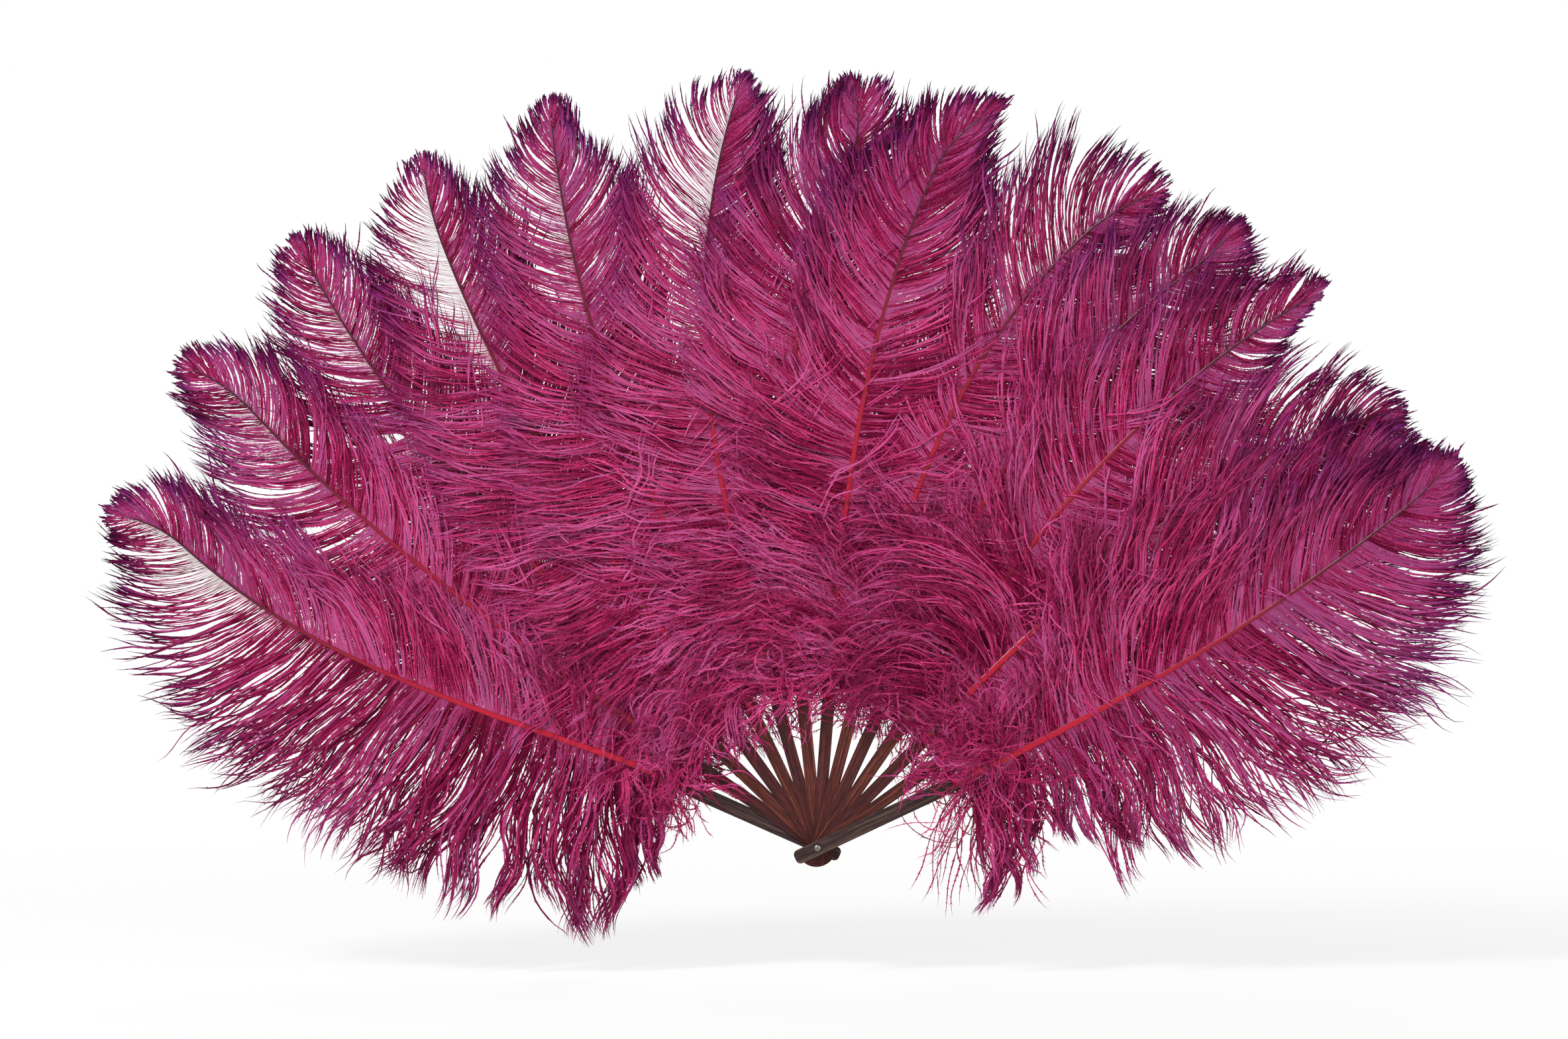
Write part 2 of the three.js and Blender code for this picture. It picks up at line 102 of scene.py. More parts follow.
# %% Plumes
# Each plume's reach from the rivet in millimetres, then in degrees the swing of its tip to the left, the
# bow of its middle and the hook of its very tip. Last, how lacy its webs are towards the head, on the left
# and on the right of the shaft: 0 is fluffy down to the shaft, and 1 shows bare barb roots.
PLUME_SHAPES = [
    (483, 6, 0.8, 0.5, 0.05, 0),
    (470, -1.5, 0, 0, 0.15, 0.15),
    (475, -8.5, 0, 0, 0.5, 0.2),
    (490, -7.8, 0, 0, 0.35, 0.25),
    (490, -11, 0, 1.5, 0.2, 0.1),
    (485, -12.5, 0, -1.5, 0.4, 0.1),
    (500, -7.5, 0, -3, 0.05, 0),
    (500, -11.5, 0, 4, 0.1, 0.1),
    (505, -10.5, 0, 0, 0.75, 0),
    (515, -6.2, 0, 0, 0.5, 0.2),
    (517, -5.5, 0, -0.8, 1.0, 0.25),
    (522, -5.4, 0, 0, 0.5, 0.35),
    (520, -5, 0, 2, 0.5, 0.4),
    (510, -4, 3, 3, 0.85, 0.25),
]
STICK_THICKNESS = 1.49
# How far the barbs at the tip stand past the end of the shaft
TIP_BARB = 12
LEFT = -1
RIGHT = 1
# The first plume that points to the left
FIRST_LEFTWARD = 7

plumes = []
for index, (reach, lean, bow, hook, left_lace, right_lace) in enumerate(PLUME_SHAPES):
    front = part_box(blades[index])[0].y / MM
    plumes.append(
        SimpleNamespace(
            index=index,
            label=labels[index],
            body=blades[index],
            angle=FRONT_ANGLE + OPEN_ANGLE * index / (len(blades) - 1),
            front=front,
            level=front + STICK_THICKNESS / 2,
            reach=reach,
            tip=reach - TIP_BARB,
            lean=lean,
            bow=bow,
            hook=hook,
            hanging_side={"front": RIGHT, "rear": LEFT}.get(labels[index], 0),
            lace={LEFT: left_lace, RIGHT: right_lace},
            upper_side=RIGHT if index >= FIRST_LEFTWARD else LEFT,
        )
    )
print("plumes:", ", ".join(f"{plume.body} {plume.angle:.1f} deg" for plume in plumes))

# %% [markdown]
# ## Camera, light and floor
#
# The fan is seen square on against white. A long lens far away keeps the blades' angles true. A key lamp at
# the upper left, a broad fill at the right, a broad lamp behind and a dim world give the barbs gentle
# shading. The white behind comes from what the camera sees of the world and the floor, not from more light
# on the feathers. The floor keeps part of its own shading, so that the fan's soft shadow still falls on it.

# %% Camera
# Millimetres to a pixel of the frame, and the frame's width in pixels
PIXEL = 0.43
FRAME_PIXELS = 2367
# The middle of the frame in x and z, from the rivet
VIEW_CENTRE = (-21.7, 212.4)
LENS = 100
SENSOR = 36
frame_width = FRAME_PIXELS * PIXEL
distance = frame_width * LENS / SENSOR

camera_data = bpy.data.cameras.new("camera")
camera_data.lens = LENS
camera_data.sensor_width = SENSOR
camera = bpy.data.objects.new("camera", camera_data)
camera.location = (VIEW_CENTRE[0] * MM, -distance * MM, VIEW_CENTRE[1] * MM)
camera.rotation_euler = (math.radians(90), 0, 0)
bpy.context.scene.collection.objects.link(camera)
bpy.context.scene.camera = camera
bpy.context.scene.view_settings.view_transform = "Standard"
print(f"camera {distance * MM:.2f} m in front of the rivet, {frame_width:.0f} mm across the frame")

# %% Lamps
# Each lamp's place and size in metres, and its power in watts
LAMPS = {
    "key": ((-1.4, -1.7, 2.0), 0.6, 86),
    "fill": ((1.9, -1.7, 0.6), 1.6, 14),
    "back": ((0.6, 2.0, 1.6), 1.4, 20),
}
aim = Vector((VIEW_CENTRE[0] * MM, 0, VIEW_CENTRE[1] * MM))
for name, (place, size, power) in LAMPS.items():
    data = bpy.data.lights.new(name, "AREA")
    data.size = size
    data.energy = power
    lamp = bpy.data.objects.new(name, data)
    lamp.location = place
    lamp.rotation_euler = (aim - lamp.location).to_track_quat("-Z", "Y").to_euler()
    bpy.context.scene.collection.objects.link(lamp)
print("lamps:", ", ".join(LAMPS))

# %% [markdown]
# Every material below is a small tree of nodes. One helper adds a node with its settings and links, and one
# turns the sRGB hex colours that a painter would read off into the linear numbers that the renderer needs.

# %% Helpers for materials
def linear(colour):
    """A hex colour such as #97275f as linear red, green, blue and an alpha of 1."""
    parts = [int(colour[at : at + 2], 16) / 255 for at in (1, 3, 5)]
    return [part / 12.92 if part <= 0.04045 else ((part + 0.055) / 1.055) ** 2.4 for part in parts] + [1]


def add_node(tree, kind, inputs=None, stops=None, **settings):
    """Adds a node. An input is a number, a colour or a socket to link, and stops fill a colour ramp."""
    made = tree.nodes.new(kind)
    for name, value in settings.items():
        setattr(made, name, value)
    for name, value in (inputs or {}).items():
        if isinstance(value, bpy.types.NodeSocket):
            tree.links.new(value, made.inputs[name])
        else:
            made.inputs[name].default_value = value
    if stops:
        ramp = made.color_ramp
        ramp.elements[0].position = stops[0][0]
        ramp.elements[1].position = stops[-1][0]
        for place, _ in stops[1:-1]:
            ramp.elements.new(place)
        for element, (_, colour) in zip(ramp.elements, stops):
            element.color = linear(colour)
    return made


def new_material(name, **inputs):
    """A material with one Principled shader, whose constant values are set on its own sockets."""
    material = bpy.data.materials.new(name)
    material.use_nodes = True
    tree = material.node_tree
    tree.nodes.clear()
    shader = add_node(tree, "ShaderNodeBsdfPrincipled", inputs)
    add_node(tree, "ShaderNodeOutputMaterial", {"Surface": shader.outputs[0]})
    return material, tree, shader


print(f"middle grey in linear light: {linear('#808080')[0]:.3f}")

# %% White world
WORLD_LIGHT = 0.2


def seen_directly(tree):
    """1 for rays from the camera, and for what shows in metal or through clear things."""
    path = add_node(tree, "ShaderNodeLightPath")
    shiny = add_node(
        tree,
        "ShaderNodeMath",
        {0: path.outputs["Is Camera Ray"], 1: path.outputs["Is Glossy Ray"]},
        operation="MAXIMUM",
    )
    clear = add_node(
        tree,
        "ShaderNodeMath",
        {0: shiny.outputs[0], 1: path.outputs["Is Transmission Ray"]},
        operation="MAXIMUM",
    )
    return clear.outputs[0]


world = bpy.data.worlds.new("studio")
world.use_nodes = True
world.node_tree.nodes.clear()
strength = add_node(
    world.node_tree,
    "ShaderNodeMapRange",
    {"Value": seen_directly(world.node_tree), "To Min": WORLD_LIGHT, "To Max": 1.0},
)
background = add_node(world.node_tree, "ShaderNodeBackground", {"Strength": strength.outputs[0]})
background.inputs["Color"].default_value = linear("#ffffff")
add_node(world.node_tree, "ShaderNodeOutputWorld", {"Surface": background.outputs[0]})
bpy.context.scene.world = world
print("world lights the fan at", WORLD_LIGHT)

# %% Pale floor
# Size, drop below the fan and reach of the shading, in metres
FLOOR_SIZE = 30
FLOOR_DROP = 0.03
FADE_FROM = 0.4
FADE_TO = 1.3
# The share of the floor that shows as plain white under the fan
FLOOR_WHITE = 0.8

floor_mesh = bpy.data.meshes.new("floor")
half = FLOOR_SIZE / 2
floor_level = cad_box[0][2] - FLOOR_DROP
corners = [(-half, -half), (half, -half), (half, half), (-half, half)]
floor_mesh.from_pydata([(x, y, floor_level) for x, y in corners], [], [(0, 1, 2, 3)])
floor = bpy.data.objects.new("floor", floor_mesh)
bpy.context.scene.collection.objects.link(floor)
floor_paint, tree, paper = new_material("matt_white_paper", Roughness=0.9)
paper.inputs["Base Color"].default_value = linear("#f2f2f0")
glow = add_node(tree, "ShaderNodeEmission", {"Strength": 1.0})
place = add_node(tree, "ShaderNodeTexCoord").outputs["Object"]
away = add_node(tree, "ShaderNodeVectorMath", {0: place}, operation="LENGTH").outputs["Value"]
fade = add_node(
    tree,
    "ShaderNodeMapRange",
    {"Value": away, "From Min": FADE_FROM, "From Max": FADE_TO, "To Min": FLOOR_WHITE, "To Max": 1.0},
)
share = add_node(
    tree, "ShaderNodeMath", {0: seen_directly(tree), 1: fade.outputs[0]}, operation="MULTIPLY"
)
mixed = add_node(
    tree, "ShaderNodeMixShader", {0: share.outputs[0], 1: paper.outputs[0], 2: glow.outputs[0]}
)
tree.links.new(mixed.outputs[0], tree.nodes["Material Output"].inputs["Surface"])
floor_mesh.materials.append(floor_paint)
print(f"floor at {floor_level / MM:.0f} mm")

# %% [markdown]
# ## The wooden blades
#
# The sticks and guards are thin slats of stained hardwood, planed and wiped with oil: dark brown guards and
# redder sticks, with pale and black streaks that run along each slat. A wood texture has to follow its
# slat, so each blade gets its own copy of the material, whose mapping is turned to the blade's angle. In a
# mapping of the texture kind, the scale is the real size of one streak. The CAD blades stay as they are,
# with a fine round on their edges from a bevel modifier.

# %% Wood
# Real sizes of streaks and pores
STREAK_WIDTH = 1.1
STREAK_LENGTH = 45
PORE_WIDTH = 0.25
PORE_LENGTH = 7
PORE_DEPTH = 0.1


def stained_hardwood(name, angle, dark, middle, light):
    """Oiled hardwood: low sheen, broad streaks and fine open pores along the slat."""
    material, tree, shader = new_material(name, Roughness=0.45, IOR=1.5)
    shader.inputs["Specular IOR Level"].default_value = 0.2
    place = add_node(tree, "ShaderNodeTexCoord").outputs["Object"]
    turned = (0, math.radians(90 - angle), 0)
    streak_size = (STREAK_WIDTH * MM, STREAK_WIDTH * MM, STREAK_LENGTH * MM)
    pore_size = (PORE_WIDTH * MM, PORE_WIDTH * MM, PORE_LENGTH * MM)
    broad = add_node(
        tree,
        "ShaderNodeMapping",
        {"Vector": place, "Rotation": turned, "Scale": streak_size, "Location": (angle * MM, 0, 0)},
        vector_type="TEXTURE",
    )
    fine = add_node(
        tree,
        "ShaderNodeMapping",
        {"Vector": place, "Rotation": turned, "Scale": pore_size},
        vector_type="TEXTURE",
    )
    streaks = add_node(
        tree, "ShaderNodeTexNoise", {"Vector": broad.outputs[0], "Scale": 1, "Detail": 5, "Distortion": 0.6}
    )
    pores = add_node(tree, "ShaderNodeTexNoise", {"Vector": fine.outputs[0], "Scale": 1, "Detail": 2})
    stain = add_node(
        tree,
        "ShaderNodeValToRGB",
        {"Fac": streaks.outputs["Fac"]},
        stops=[(0.3, dark), (0.52, middle), (0.72, light)],
    )
    open_pore = add_node(
        tree,
        "ShaderNodeValToRGB",
        {"Fac": pores.outputs["Fac"]},
        stops=[(0.36, "#7a7a7a"), (0.48, "#ffffff")],
    )
    colour = add_node(
        tree,
        "ShaderNodeMix",
        {0: 1.0, 6: stain.outputs[0], 7: open_pore.outputs[0]},
        data_type="RGBA",
        blend_type="MULTIPLY",
    )
    tree.links.new(colour.outputs[2], shader.inputs["Base Color"])
    gloss = add_node(
        tree,
        "ShaderNodeMapRange",
        {"Value": streaks.outputs["Fac"], "To Min": 0.36, "To Max": 0.58},
    )
    tree.links.new(gloss.outputs[0], shader.inputs["Roughness"])
    relief = add_node(
        tree,
        "ShaderNodeBump",
        {"Height": pores.outputs["Fac"], "Strength": 0.35, "Distance": PORE_DEPTH * MM},
    )
    tree.links.new(relief.outputs[0], shader.inputs["Normal"])
    return material


# %% Stain the blades
GUARD_STAINS = ("#241819", "#3a2726", "#685248")
# Darker and redder sticks lie in turn
STICK_STAINS = [("#2c1013", "#481c1d", "#642e28"), ("#321112", "#56241e", "#7c4232")]
EDGE_ROUND = 0.18

for plume in plumes:
    node = frame["nodes"][plume.body]
    stains = GUARD_STAINS if plume.hanging_side else STICK_STAINS[plume.index % 2]
    node.data.materials.clear()
    node.data.materials.append(stained_hardwood(f"stained_hardwood_{plume.label}", plume.angle, *stains))
    rounding = node.modifiers.new("edge_round", "BEVEL")
    rounding.width = EDGE_ROUND * MM
    rounding.segments = 2
    rounding.limit_method = "ANGLE"
print("wood on", len(plumes), "blades")

# %% [markdown]
# ## The rivet
#
# The pivot is a small steel rivet with a polished round head, peened over a washer, called a burr, at the
# back. Handling has dulled and darkened the steel. The CAD rivet is right in size but has few sides, so a
# finer turned piece takes its place: a profile swept round the axis, which is how the real one is turned.

# %% Polished steel
WEAR_SIZE = 0.3

steel, tree, shader = new_material("polished_steel", Metallic=1.0, Roughness=0.2)
place = add_node(tree, "ShaderNodeTexCoord").outputs["Object"]
sized = add_node(
    tree, "ShaderNodeMapping", {"Vector": place, "Scale": [WEAR_SIZE * MM] * 3}, vector_type="TEXTURE"
)
wear = add_node(tree, "ShaderNodeTexNoise", {"Vector": sized.outputs[0], "Scale": 1, "Detail": 3})
tarnish = add_node(
    tree,
    "ShaderNodeValToRGB",
    {"Fac": wear.outputs["Fac"]},
    stops=[(0.3, "#4e4844"), (0.6, "#8c867e")],
)
tree.links.new(tarnish.outputs[0], shader.inputs["Base Color"])
scuff = add_node(
    tree, "ShaderNodeMapRange", {"Value": wear.outputs["Fac"], "To Min": 0.2, "To Max": 0.4}
)
tree.links.new(scuff.outputs[0], shader.inputs["Roughness"])
burr = frame["nodes"]["rivet_burr"]
burr.data.materials.clear()
burr.data.materials.append(steel)
print("steel on", burr.name)

# %% Helpers for pieces
def ring_faces(rings, sides):
    """Quads between each ring of points and the next."""
    faces = []
    for ring in range(rings - 1):
        for side in range(sides):
            here = ring * sides + side
            beside = ring * sides + (side + 1) % sides
            faces.append((here, beside, beside + sides, here + sides))
    return faces


def smooth_mesh(name, points, faces, material):
    """A smooth mesh from points in millimetres."""
    mesh = bpy.data.meshes.new(name)
    mesh.from_pydata(np.asarray(points) * MM, [], faces)
    mesh.polygons.foreach_set("use_smooth", [True] * len(mesh.polygons))
    mesh.materials.append(material)
    mesh.update()
    return mesh


def carry(mesh, **numbers):
    """Gives every point of a mesh numbers of its own, which its material reads by their names."""
    for name, values in numbers.items():
        mesh.attributes.new(name, "FLOAT", "POINT").data.foreach_set("value", np.ravel(values))


def add_piece(data, body, replaced):
    """Makes a mesh or a curve a piece of the fan, which rides on a body in place of a CAD node."""
    piece = bpy.data.objects.new(data.name, data)
    bpy.context.scene.collection.objects.link(piece)
    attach(piece, body)
    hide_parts(replaced)


print("a ring of 6 sides and the next share", len(ring_faces(2, 6)), "faces")

# %% Turned rivet
TURNED_STEPS = 48
PIN_RADIUS = 1.1
HEAD_RADIUS = 2.3
HEAD_HEIGHT = 1.1
PEEN_RADIUS = 1.8
PEEN_HEIGHT = 0.7
DOME_STEPS = 10
# A dome starts this many radians from its pole, so that its first ring isn't a point
DOME_START = 0.02


def turned(profile):
    """Sweeps a profile of radius and y round the rivet's axis."""
    steps = np.arange(TURNED_STEPS) * 2 * np.pi / TURNED_STEPS
    radius, y = np.array(profile).T
    points = np.empty((len(profile), TURNED_STEPS, 3))
    points[..., 0] = radius[:, None] * np.cos(steps)
    points[..., 1] = y[:, None]
    points[..., 2] = radius[:, None] * np.sin(steps)
    return points.reshape(-1, 3), ring_faces(len(profile), TURNED_STEPS)


def dome(radius, height, base, outward):
    """A quarter of an oval, from its pole to its rim."""
    angles = np.linspace(DOME_START, np.pi / 2, DOME_STEPS)
    return [(radius * math.sin(a), base + outward * height * math.cos(a)) for a in angles]


rivet_low, rivet_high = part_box("rivet")
head_base = rivet_low.y / MM + HEAD_HEIGHT
peen_base = rivet_high.y / MM - PEEN_HEIGHT
rivet_profile = [
    *dome(HEAD_RADIUS, HEAD_HEIGHT, head_base, -1),
    (PIN_RADIUS, head_base),
    (PIN_RADIUS, peen_base),
    *reversed(dome(PEEN_RADIUS, PEEN_HEIGHT, peen_base, 1)),
]
rivet_mesh = smooth_mesh("turned_rivet", *turned(rivet_profile), steel)
add_piece(rivet_mesh, "front_guard", "rivet")
print("rivet head", 2 * HEAD_RADIUS, "mm across")

# %% [markdown]
# ## The line of a shaft
#
# A plume's shaft leaves its blade straight and then leans and bows a little. All plumes also curl towards
# the front, on one dish about the rivet, so that they lie over each other like the blades. Every later step
# asks these functions where the shaft is at a distance from the rivet.

# %% Shaft line
# Distances from the rivet to the blades' tips and to the foot of the free quill
BLADE_TIP = 126
WEB_START = 128
DISH_DEPTH = 28
DISH_RADIUS = 520
HOOK_FROM = 0.85
HALF_STEP = 0.5


def dish(radius):
    """How far the dish has come to the front at a distance from the rivet."""
    return DISH_DEPTH * (np.maximum(0, radius - BLADE_TIP) / (DISH_RADIUS - BLADE_TIP)) ** 2


def shaft_point(plume, radius):
    """The shaft's x and z at distances from the rivet."""
    share = np.maximum(0, radius - BLADE_TIP) / (plume.reach - BLADE_TIP)
    end = np.maximum(0, share - HOOK_FROM) / (1 - HOOK_FROM)
    turn = plume.lean * share**2 + plume.bow * 4 * share * (1 - share) + plume.hook * end**2
    angle = np.radians(plume.angle + turn)
    return np.stack([radius * np.cos(angle), radius * np.sin(angle)], -1)


def shaft_frame(plume, radius):
    """Points of the shaft in x and z, the way along it, and the way to its right seen from the front."""
    ahead = shaft_point(plume, radius + HALF_STEP) - shaft_point(plume, radius - HALF_STEP)
    along = ahead / np.linalg.norm(ahead, axis=-1, keepdims=True)
    right = np.stack([along[..., 1], -along[..., 0]], -1)
    return shaft_point(plume, radius), along, right


print("longest shaft ends", max(plume.tip for plume in plumes), "mm from the rivet")

# %% [markdown]
# ## Quills
#
# A quill is keratin, like a fingernail: smooth, hard and a little see-through, dyed a strong red that
# deepens to maroon as the shaft thins towards the tip. Painted shade darkens it along its sides, so that it
# looks round. It is pared flat where it is let into the blade. A loft of oval rings along the shaft line
# gives it the same taper as the CAD quill, with more sides for a clean highlight. Each point carries how far
# along the shaft and how near its side it lies: the dye reads the first and the painted shade the second.

# %% Dyed keratin
FIBRE_WIDTH = 0.35

keratin, tree, shader = new_material("dyed_keratin", IOR=1.55, Roughness=0.3)
shader.inputs["Specular IOR Level"].default_value = 0.15
shader.inputs["Coat Weight"].default_value = 0.25
shader.inputs["Coat Roughness"].default_value = 0.08
along = add_node(tree, "ShaderNodeAttribute", attribute_name="along").outputs["Fac"]
edge = add_node(tree, "ShaderNodeAttribute", attribute_name="edge").outputs["Fac"]
place = add_node(tree, "ShaderNodeTexCoord").outputs["Object"]
sized = add_node(
    tree, "ShaderNodeMapping", {"Vector": place, "Scale": [FIBRE_WIDTH * MM] * 3}, vector_type="TEXTURE"
)
fibre = add_node(tree, "ShaderNodeTexNoise", {"Vector": sized.outputs[0], "Scale": 1, "Detail": 3})
dye = add_node(
    tree,
    "ShaderNodeValToRGB",
    {"Fac": along},
    stops=[(0.0, "#c80a34"), (0.3, "#be0832"), (0.55, "#9a0a30"), (0.75, "#5a1028"), (1.0, "#2c0f1c")],
)
depth = add_node(
    tree,
    "ShaderNodeValToRGB",
    {"Fac": fibre.outputs["Fac"]},
    stops=[(0.3, "#c9c9c9"), (0.7, "#ffffff")],
)
colour = add_node(
    tree,
    "ShaderNodeMix",
    {0: 1.0, 6: dye.outputs[0], 7: depth.outputs[0]},
    data_type="RGBA",
    blend_type="MULTIPLY",
)
# Painted shade along the quill's sides, so that it looks round
painted_side_shade = add_node(
    tree,
    "ShaderNodeValToRGB",
    {"Fac": edge},
    stops=[(0.5, "#ffffff"), (0.85, "#cca4b0"), (1.0, "#7a4858")],
)
side_shaded = add_node(
    tree,
    "ShaderNodeMix",
    {0: 1.0, 6: colour.outputs[2], 7: painted_side_shade.outputs[0]},
    data_type="RGBA",
    blend_type="MULTIPLY",
)
tree.links.new(side_shaded.outputs[2], shader.inputs["Base Color"])
print("material:", keratin.name)

# %% Quill lofts
# Where the pared end of a quill starts in its blade, from the rivet
LAP_START = 96.1
QUILL_SIDES = 14
QUILL_RINGS = 72
# At the blade's tip and at the end of the shaft
QUILL_WIDTHS = (4.8, 0.8)
QUILL_THICKNESSES = (1.1, 0.4)
# The pared end's thickness, and its middle behind the blade's front face
PARED_THICKNESS = 0.45
PARED_LEVEL = 0.505
# Past the blade, the pared quill grows to its full thickness over this length
SWELL_LENGTH = 24


def quill_mesh(plume):
    """A quill as a loft of oval rings, closed at both ends."""
    radius = np.concatenate([[LAP_START], np.linspace(WEB_START, plume.tip, QUILL_RINGS)])
    centre, _, right = shaft_frame(plume, radius)
    share = np.maximum(0, radius - BLADE_TIP) / (plume.tip - BLADE_TIP)
    swell = np.clip((radius - WEB_START) / SWELL_LENGTH, 0, 1)
    half = np.interp(share, [0, 1], QUILL_WIDTHS) / 2
    thick = np.interp(share, [0, 1], QUILL_THICKNESSES)
    deep = (PARED_THICKNESS + (thick - PARED_THICKNESS) * swell) / 2
    level = plume.front + PARED_LEVEL + (STICK_THICKNESS / 2 - PARED_LEVEL) * swell - dish(radius)
    turn = np.arange(QUILL_SIDES) * 2 * np.pi / QUILL_SIDES
    across = half[:, None] * np.cos(turn)
    points = np.empty((len(radius), QUILL_SIDES, 3))
    points[..., 0] = centre[:, None, 0] + right[:, None, 0] * across
    points[..., 1] = level[:, None] + deep[:, None] * np.sin(turn)
    points[..., 2] = centre[:, None, 1] + right[:, None, 1] * across
    faces = [(a, d, c, b) for a, b, c, d in ring_faces(len(radius), QUILL_SIDES)]
    last = (len(radius) - 1) * QUILL_SIDES
    faces.append(tuple(range(QUILL_SIDES)))
    faces.append(tuple(range(last + QUILL_SIDES - 1, last - 1, -1)))
    mesh = smooth_mesh(f"shaft_{plume.label}", points.reshape(-1, 3), faces, keratin)
    carry(mesh, along=np.repeat(share, QUILL_SIDES), edge=np.tile(np.abs(np.cos(turn)), len(radius)))
    return mesh


for plume in plumes:
    add_piece(quill_mesh(plume), plume.body, f"quill_{plume.label}")
print("quills:", len(plumes), "of", QUILL_RINGS + 1, "rings each")

# %% [markdown]
# ## Thread bindings
#
# Each quill is whipped to its blade with close turns of dyed cotton thread, which is matt with a soft sheen
# of loose fibres. A plain band with a striped material would look flat at its edges. A curve that winds
# round the flat lap, with a round bevel, is the thread itself.

# %% Thread
# The real pitch of the strands, which shows only close up
STRAND_PITCH = 0.12

thread, tree, shader = new_material("dyed_cotton_thread", Roughness=0.8, IOR=1.5)
shader.inputs["Sheen Weight"].default_value = 0.3
place = add_node(tree, "ShaderNodeTexCoord").outputs["Object"]
sized = add_node(
    tree, "ShaderNodeMapping", {"Vector": place, "Scale": [STRAND_PITCH * MM] * 3}, vector_type="TEXTURE"
)
strands = add_node(tree, "ShaderNodeTexNoise", {"Vector": sized.outputs[0], "Scale": 1, "Detail": 2})
colour = add_node(
    tree,
    "ShaderNodeValToRGB",
    {"Fac": strands.outputs["Fac"]},
    stops=[(0.3, "#4e0f28"), (0.7, "#8a2348")],
)
tree.links.new(colour.outputs[0], shader.inputs["Base Color"])
print("material:", thread.name)

# %% Wound turns
THREAD_RADIUS = 0.1
BINDING_START = 104
BINDING_LENGTH = 7
BINDING_HALF_WIDTH = 2.68
TURN_POINTS = 16
# 2 would be a plain oval, and more is squarer
SQUARENESS = 6
binding_turns = int(BINDING_LENGTH / (2 * THREAD_RADIUS))


def rounded_box_point(turn, half_width, half_depth):
    """A point at an angle on an oval with squared sides."""
    c = np.cos(turn)
    s = np.sin(turn)
    scale = (np.abs(c) ** SQUARENESS + np.abs(s) ** SQUARENESS) ** (-1 / SQUARENESS)
    return half_width * c * scale, half_depth * s * scale


def winding(plume):
    """The thread's route round one lap, in metres, as points of a curve with a weight of 1."""
    low, high = (corner.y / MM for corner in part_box(f"binding_{plume.label}"))
    first = BINDING_START + THREAD_RADIUS
    last = BINDING_START + BINDING_LENGTH - THREAD_RADIUS
    turn = np.linspace(0, 2 * np.pi * binding_turns, binding_turns * TURN_POINTS)
    centre, _, right = shaft_frame(plume, np.linspace(first, last, len(turn)))
    half_depth = (high - low) / 2 - THREAD_RADIUS
    across, deep = rounded_box_point(turn, BINDING_HALF_WIDTH - THREAD_RADIUS, half_depth)
    route = np.empty((len(turn), 4))
    route[:, 0] = centre[:, 0] + right[:, 0] * across
    route[:, 1] = (low + high) / 2 + deep
    route[:, 2] = centre[:, 1] + right[:, 1] * across
    route[:, :3] *= MM
    route[:, 3] = 1
    return route


for plume in plumes:
    route = winding(plume)
    curve = bpy.data.curves.new(f"thread_{plume.label}", "CURVE")
    curve.dimensions = "3D"
    curve.bevel_depth = THREAD_RADIUS * MM
    curve.bevel_resolution = 1
    curve.use_fill_caps = True
    spline = curve.splines.new("POLY")
    spline.points.add(len(route) - 1)
    spline.points.foreach_set("co", route.ravel())
    curve.materials.append(thread)
    add_piece(curve, plume.body, f"binding_{plume.label}")
print("bindings of", binding_turns, "turns")

# %% [markdown]
# ## Barbs
#
# Ostrich barbs don't hook together, so a plume is loose: each barb leaves the shaft at a wide angle, sweeps
# towards the tip and ends free. Neighbours cling to each other in tufts, and a few tufts sway together as a
# lock. The foot of a plume is soft down that falls over the sticks, and the outer webs of the two end
# plumes hang.
#
# Hair particles would be quick, but they are not part of the mesh. Here each barb is a path that is stepped
# along: at each step its heading turns a little, and everything that shapes it, the leaving angle, the
# curl, the wave and the pull of its weight, is an array with one number for each barb. That keeps the code
# short and quick.

# %% Steps, tufts and locks
STEPS = 22
# Places along a barb, from its root to its tip
T = np.linspace(0, 1, STEPS)
TUFT_SIZES = (2, 6)


def smoothstep(value, low, high):
    """Rises smoothly from 0 to 1 between two values."""
    share = np.clip((value - low) / (high - low), 0, 1)
    return share * share * (3 - 2 * share)


def tufts(count, rng):
    """Deals barbs out into tufts of neighbours, and gives each barb its tuft's number."""
    smallest, largest = TUFT_SIZES
    sizes = rng.integers(smallest, largest + 1, count)
    return np.repeat(np.arange(count), sizes)[:count]


def middle_barb(number):
    """The middle barb of the tuft or lock that each barb belongs to."""
    first = np.searchsorted(number, number, "left")
    last = np.searchsorted(number, number, "right") - 1
    return (first + last) // 2


print("steps along a barb:", STEPS)

# %% [markdown]
# Barbs may stand only a little past the CAD model at the front and back. Cutting them off there would leave
# a flat face, so those that come near the limit are pressed together instead.

# %% Room for the barbs
# Room past the CAD box, and the depth over which barbs are pressed
VISUAL_ROOM = 7
PRESS_DEPTH = 10
LOWEST_Y = cad_box[0][1] / MM - VISUAL_ROOM
HIGHEST_Y = cad_box[1][1] / MM + VISUAL_ROOM


def pressed(y):
    """Presses what nears the front or back limit together, as a hand laid on the feathers would."""
    over = np.maximum(0, y - (HIGHEST_Y - PRESS_DEPTH))
    under = np.maximum(0, LOWEST_Y + PRESS_DEPTH - y)
    y = y - over + PRESS_DEPTH * np.tanh(over / PRESS_DEPTH)
    return y + under - PRESS_DEPTH * np.tanh(under / PRESS_DEPTH)


print(f"barbs lie between {LOWEST_Y:.1f} and {HIGHEST_Y:.1f} mm in y")

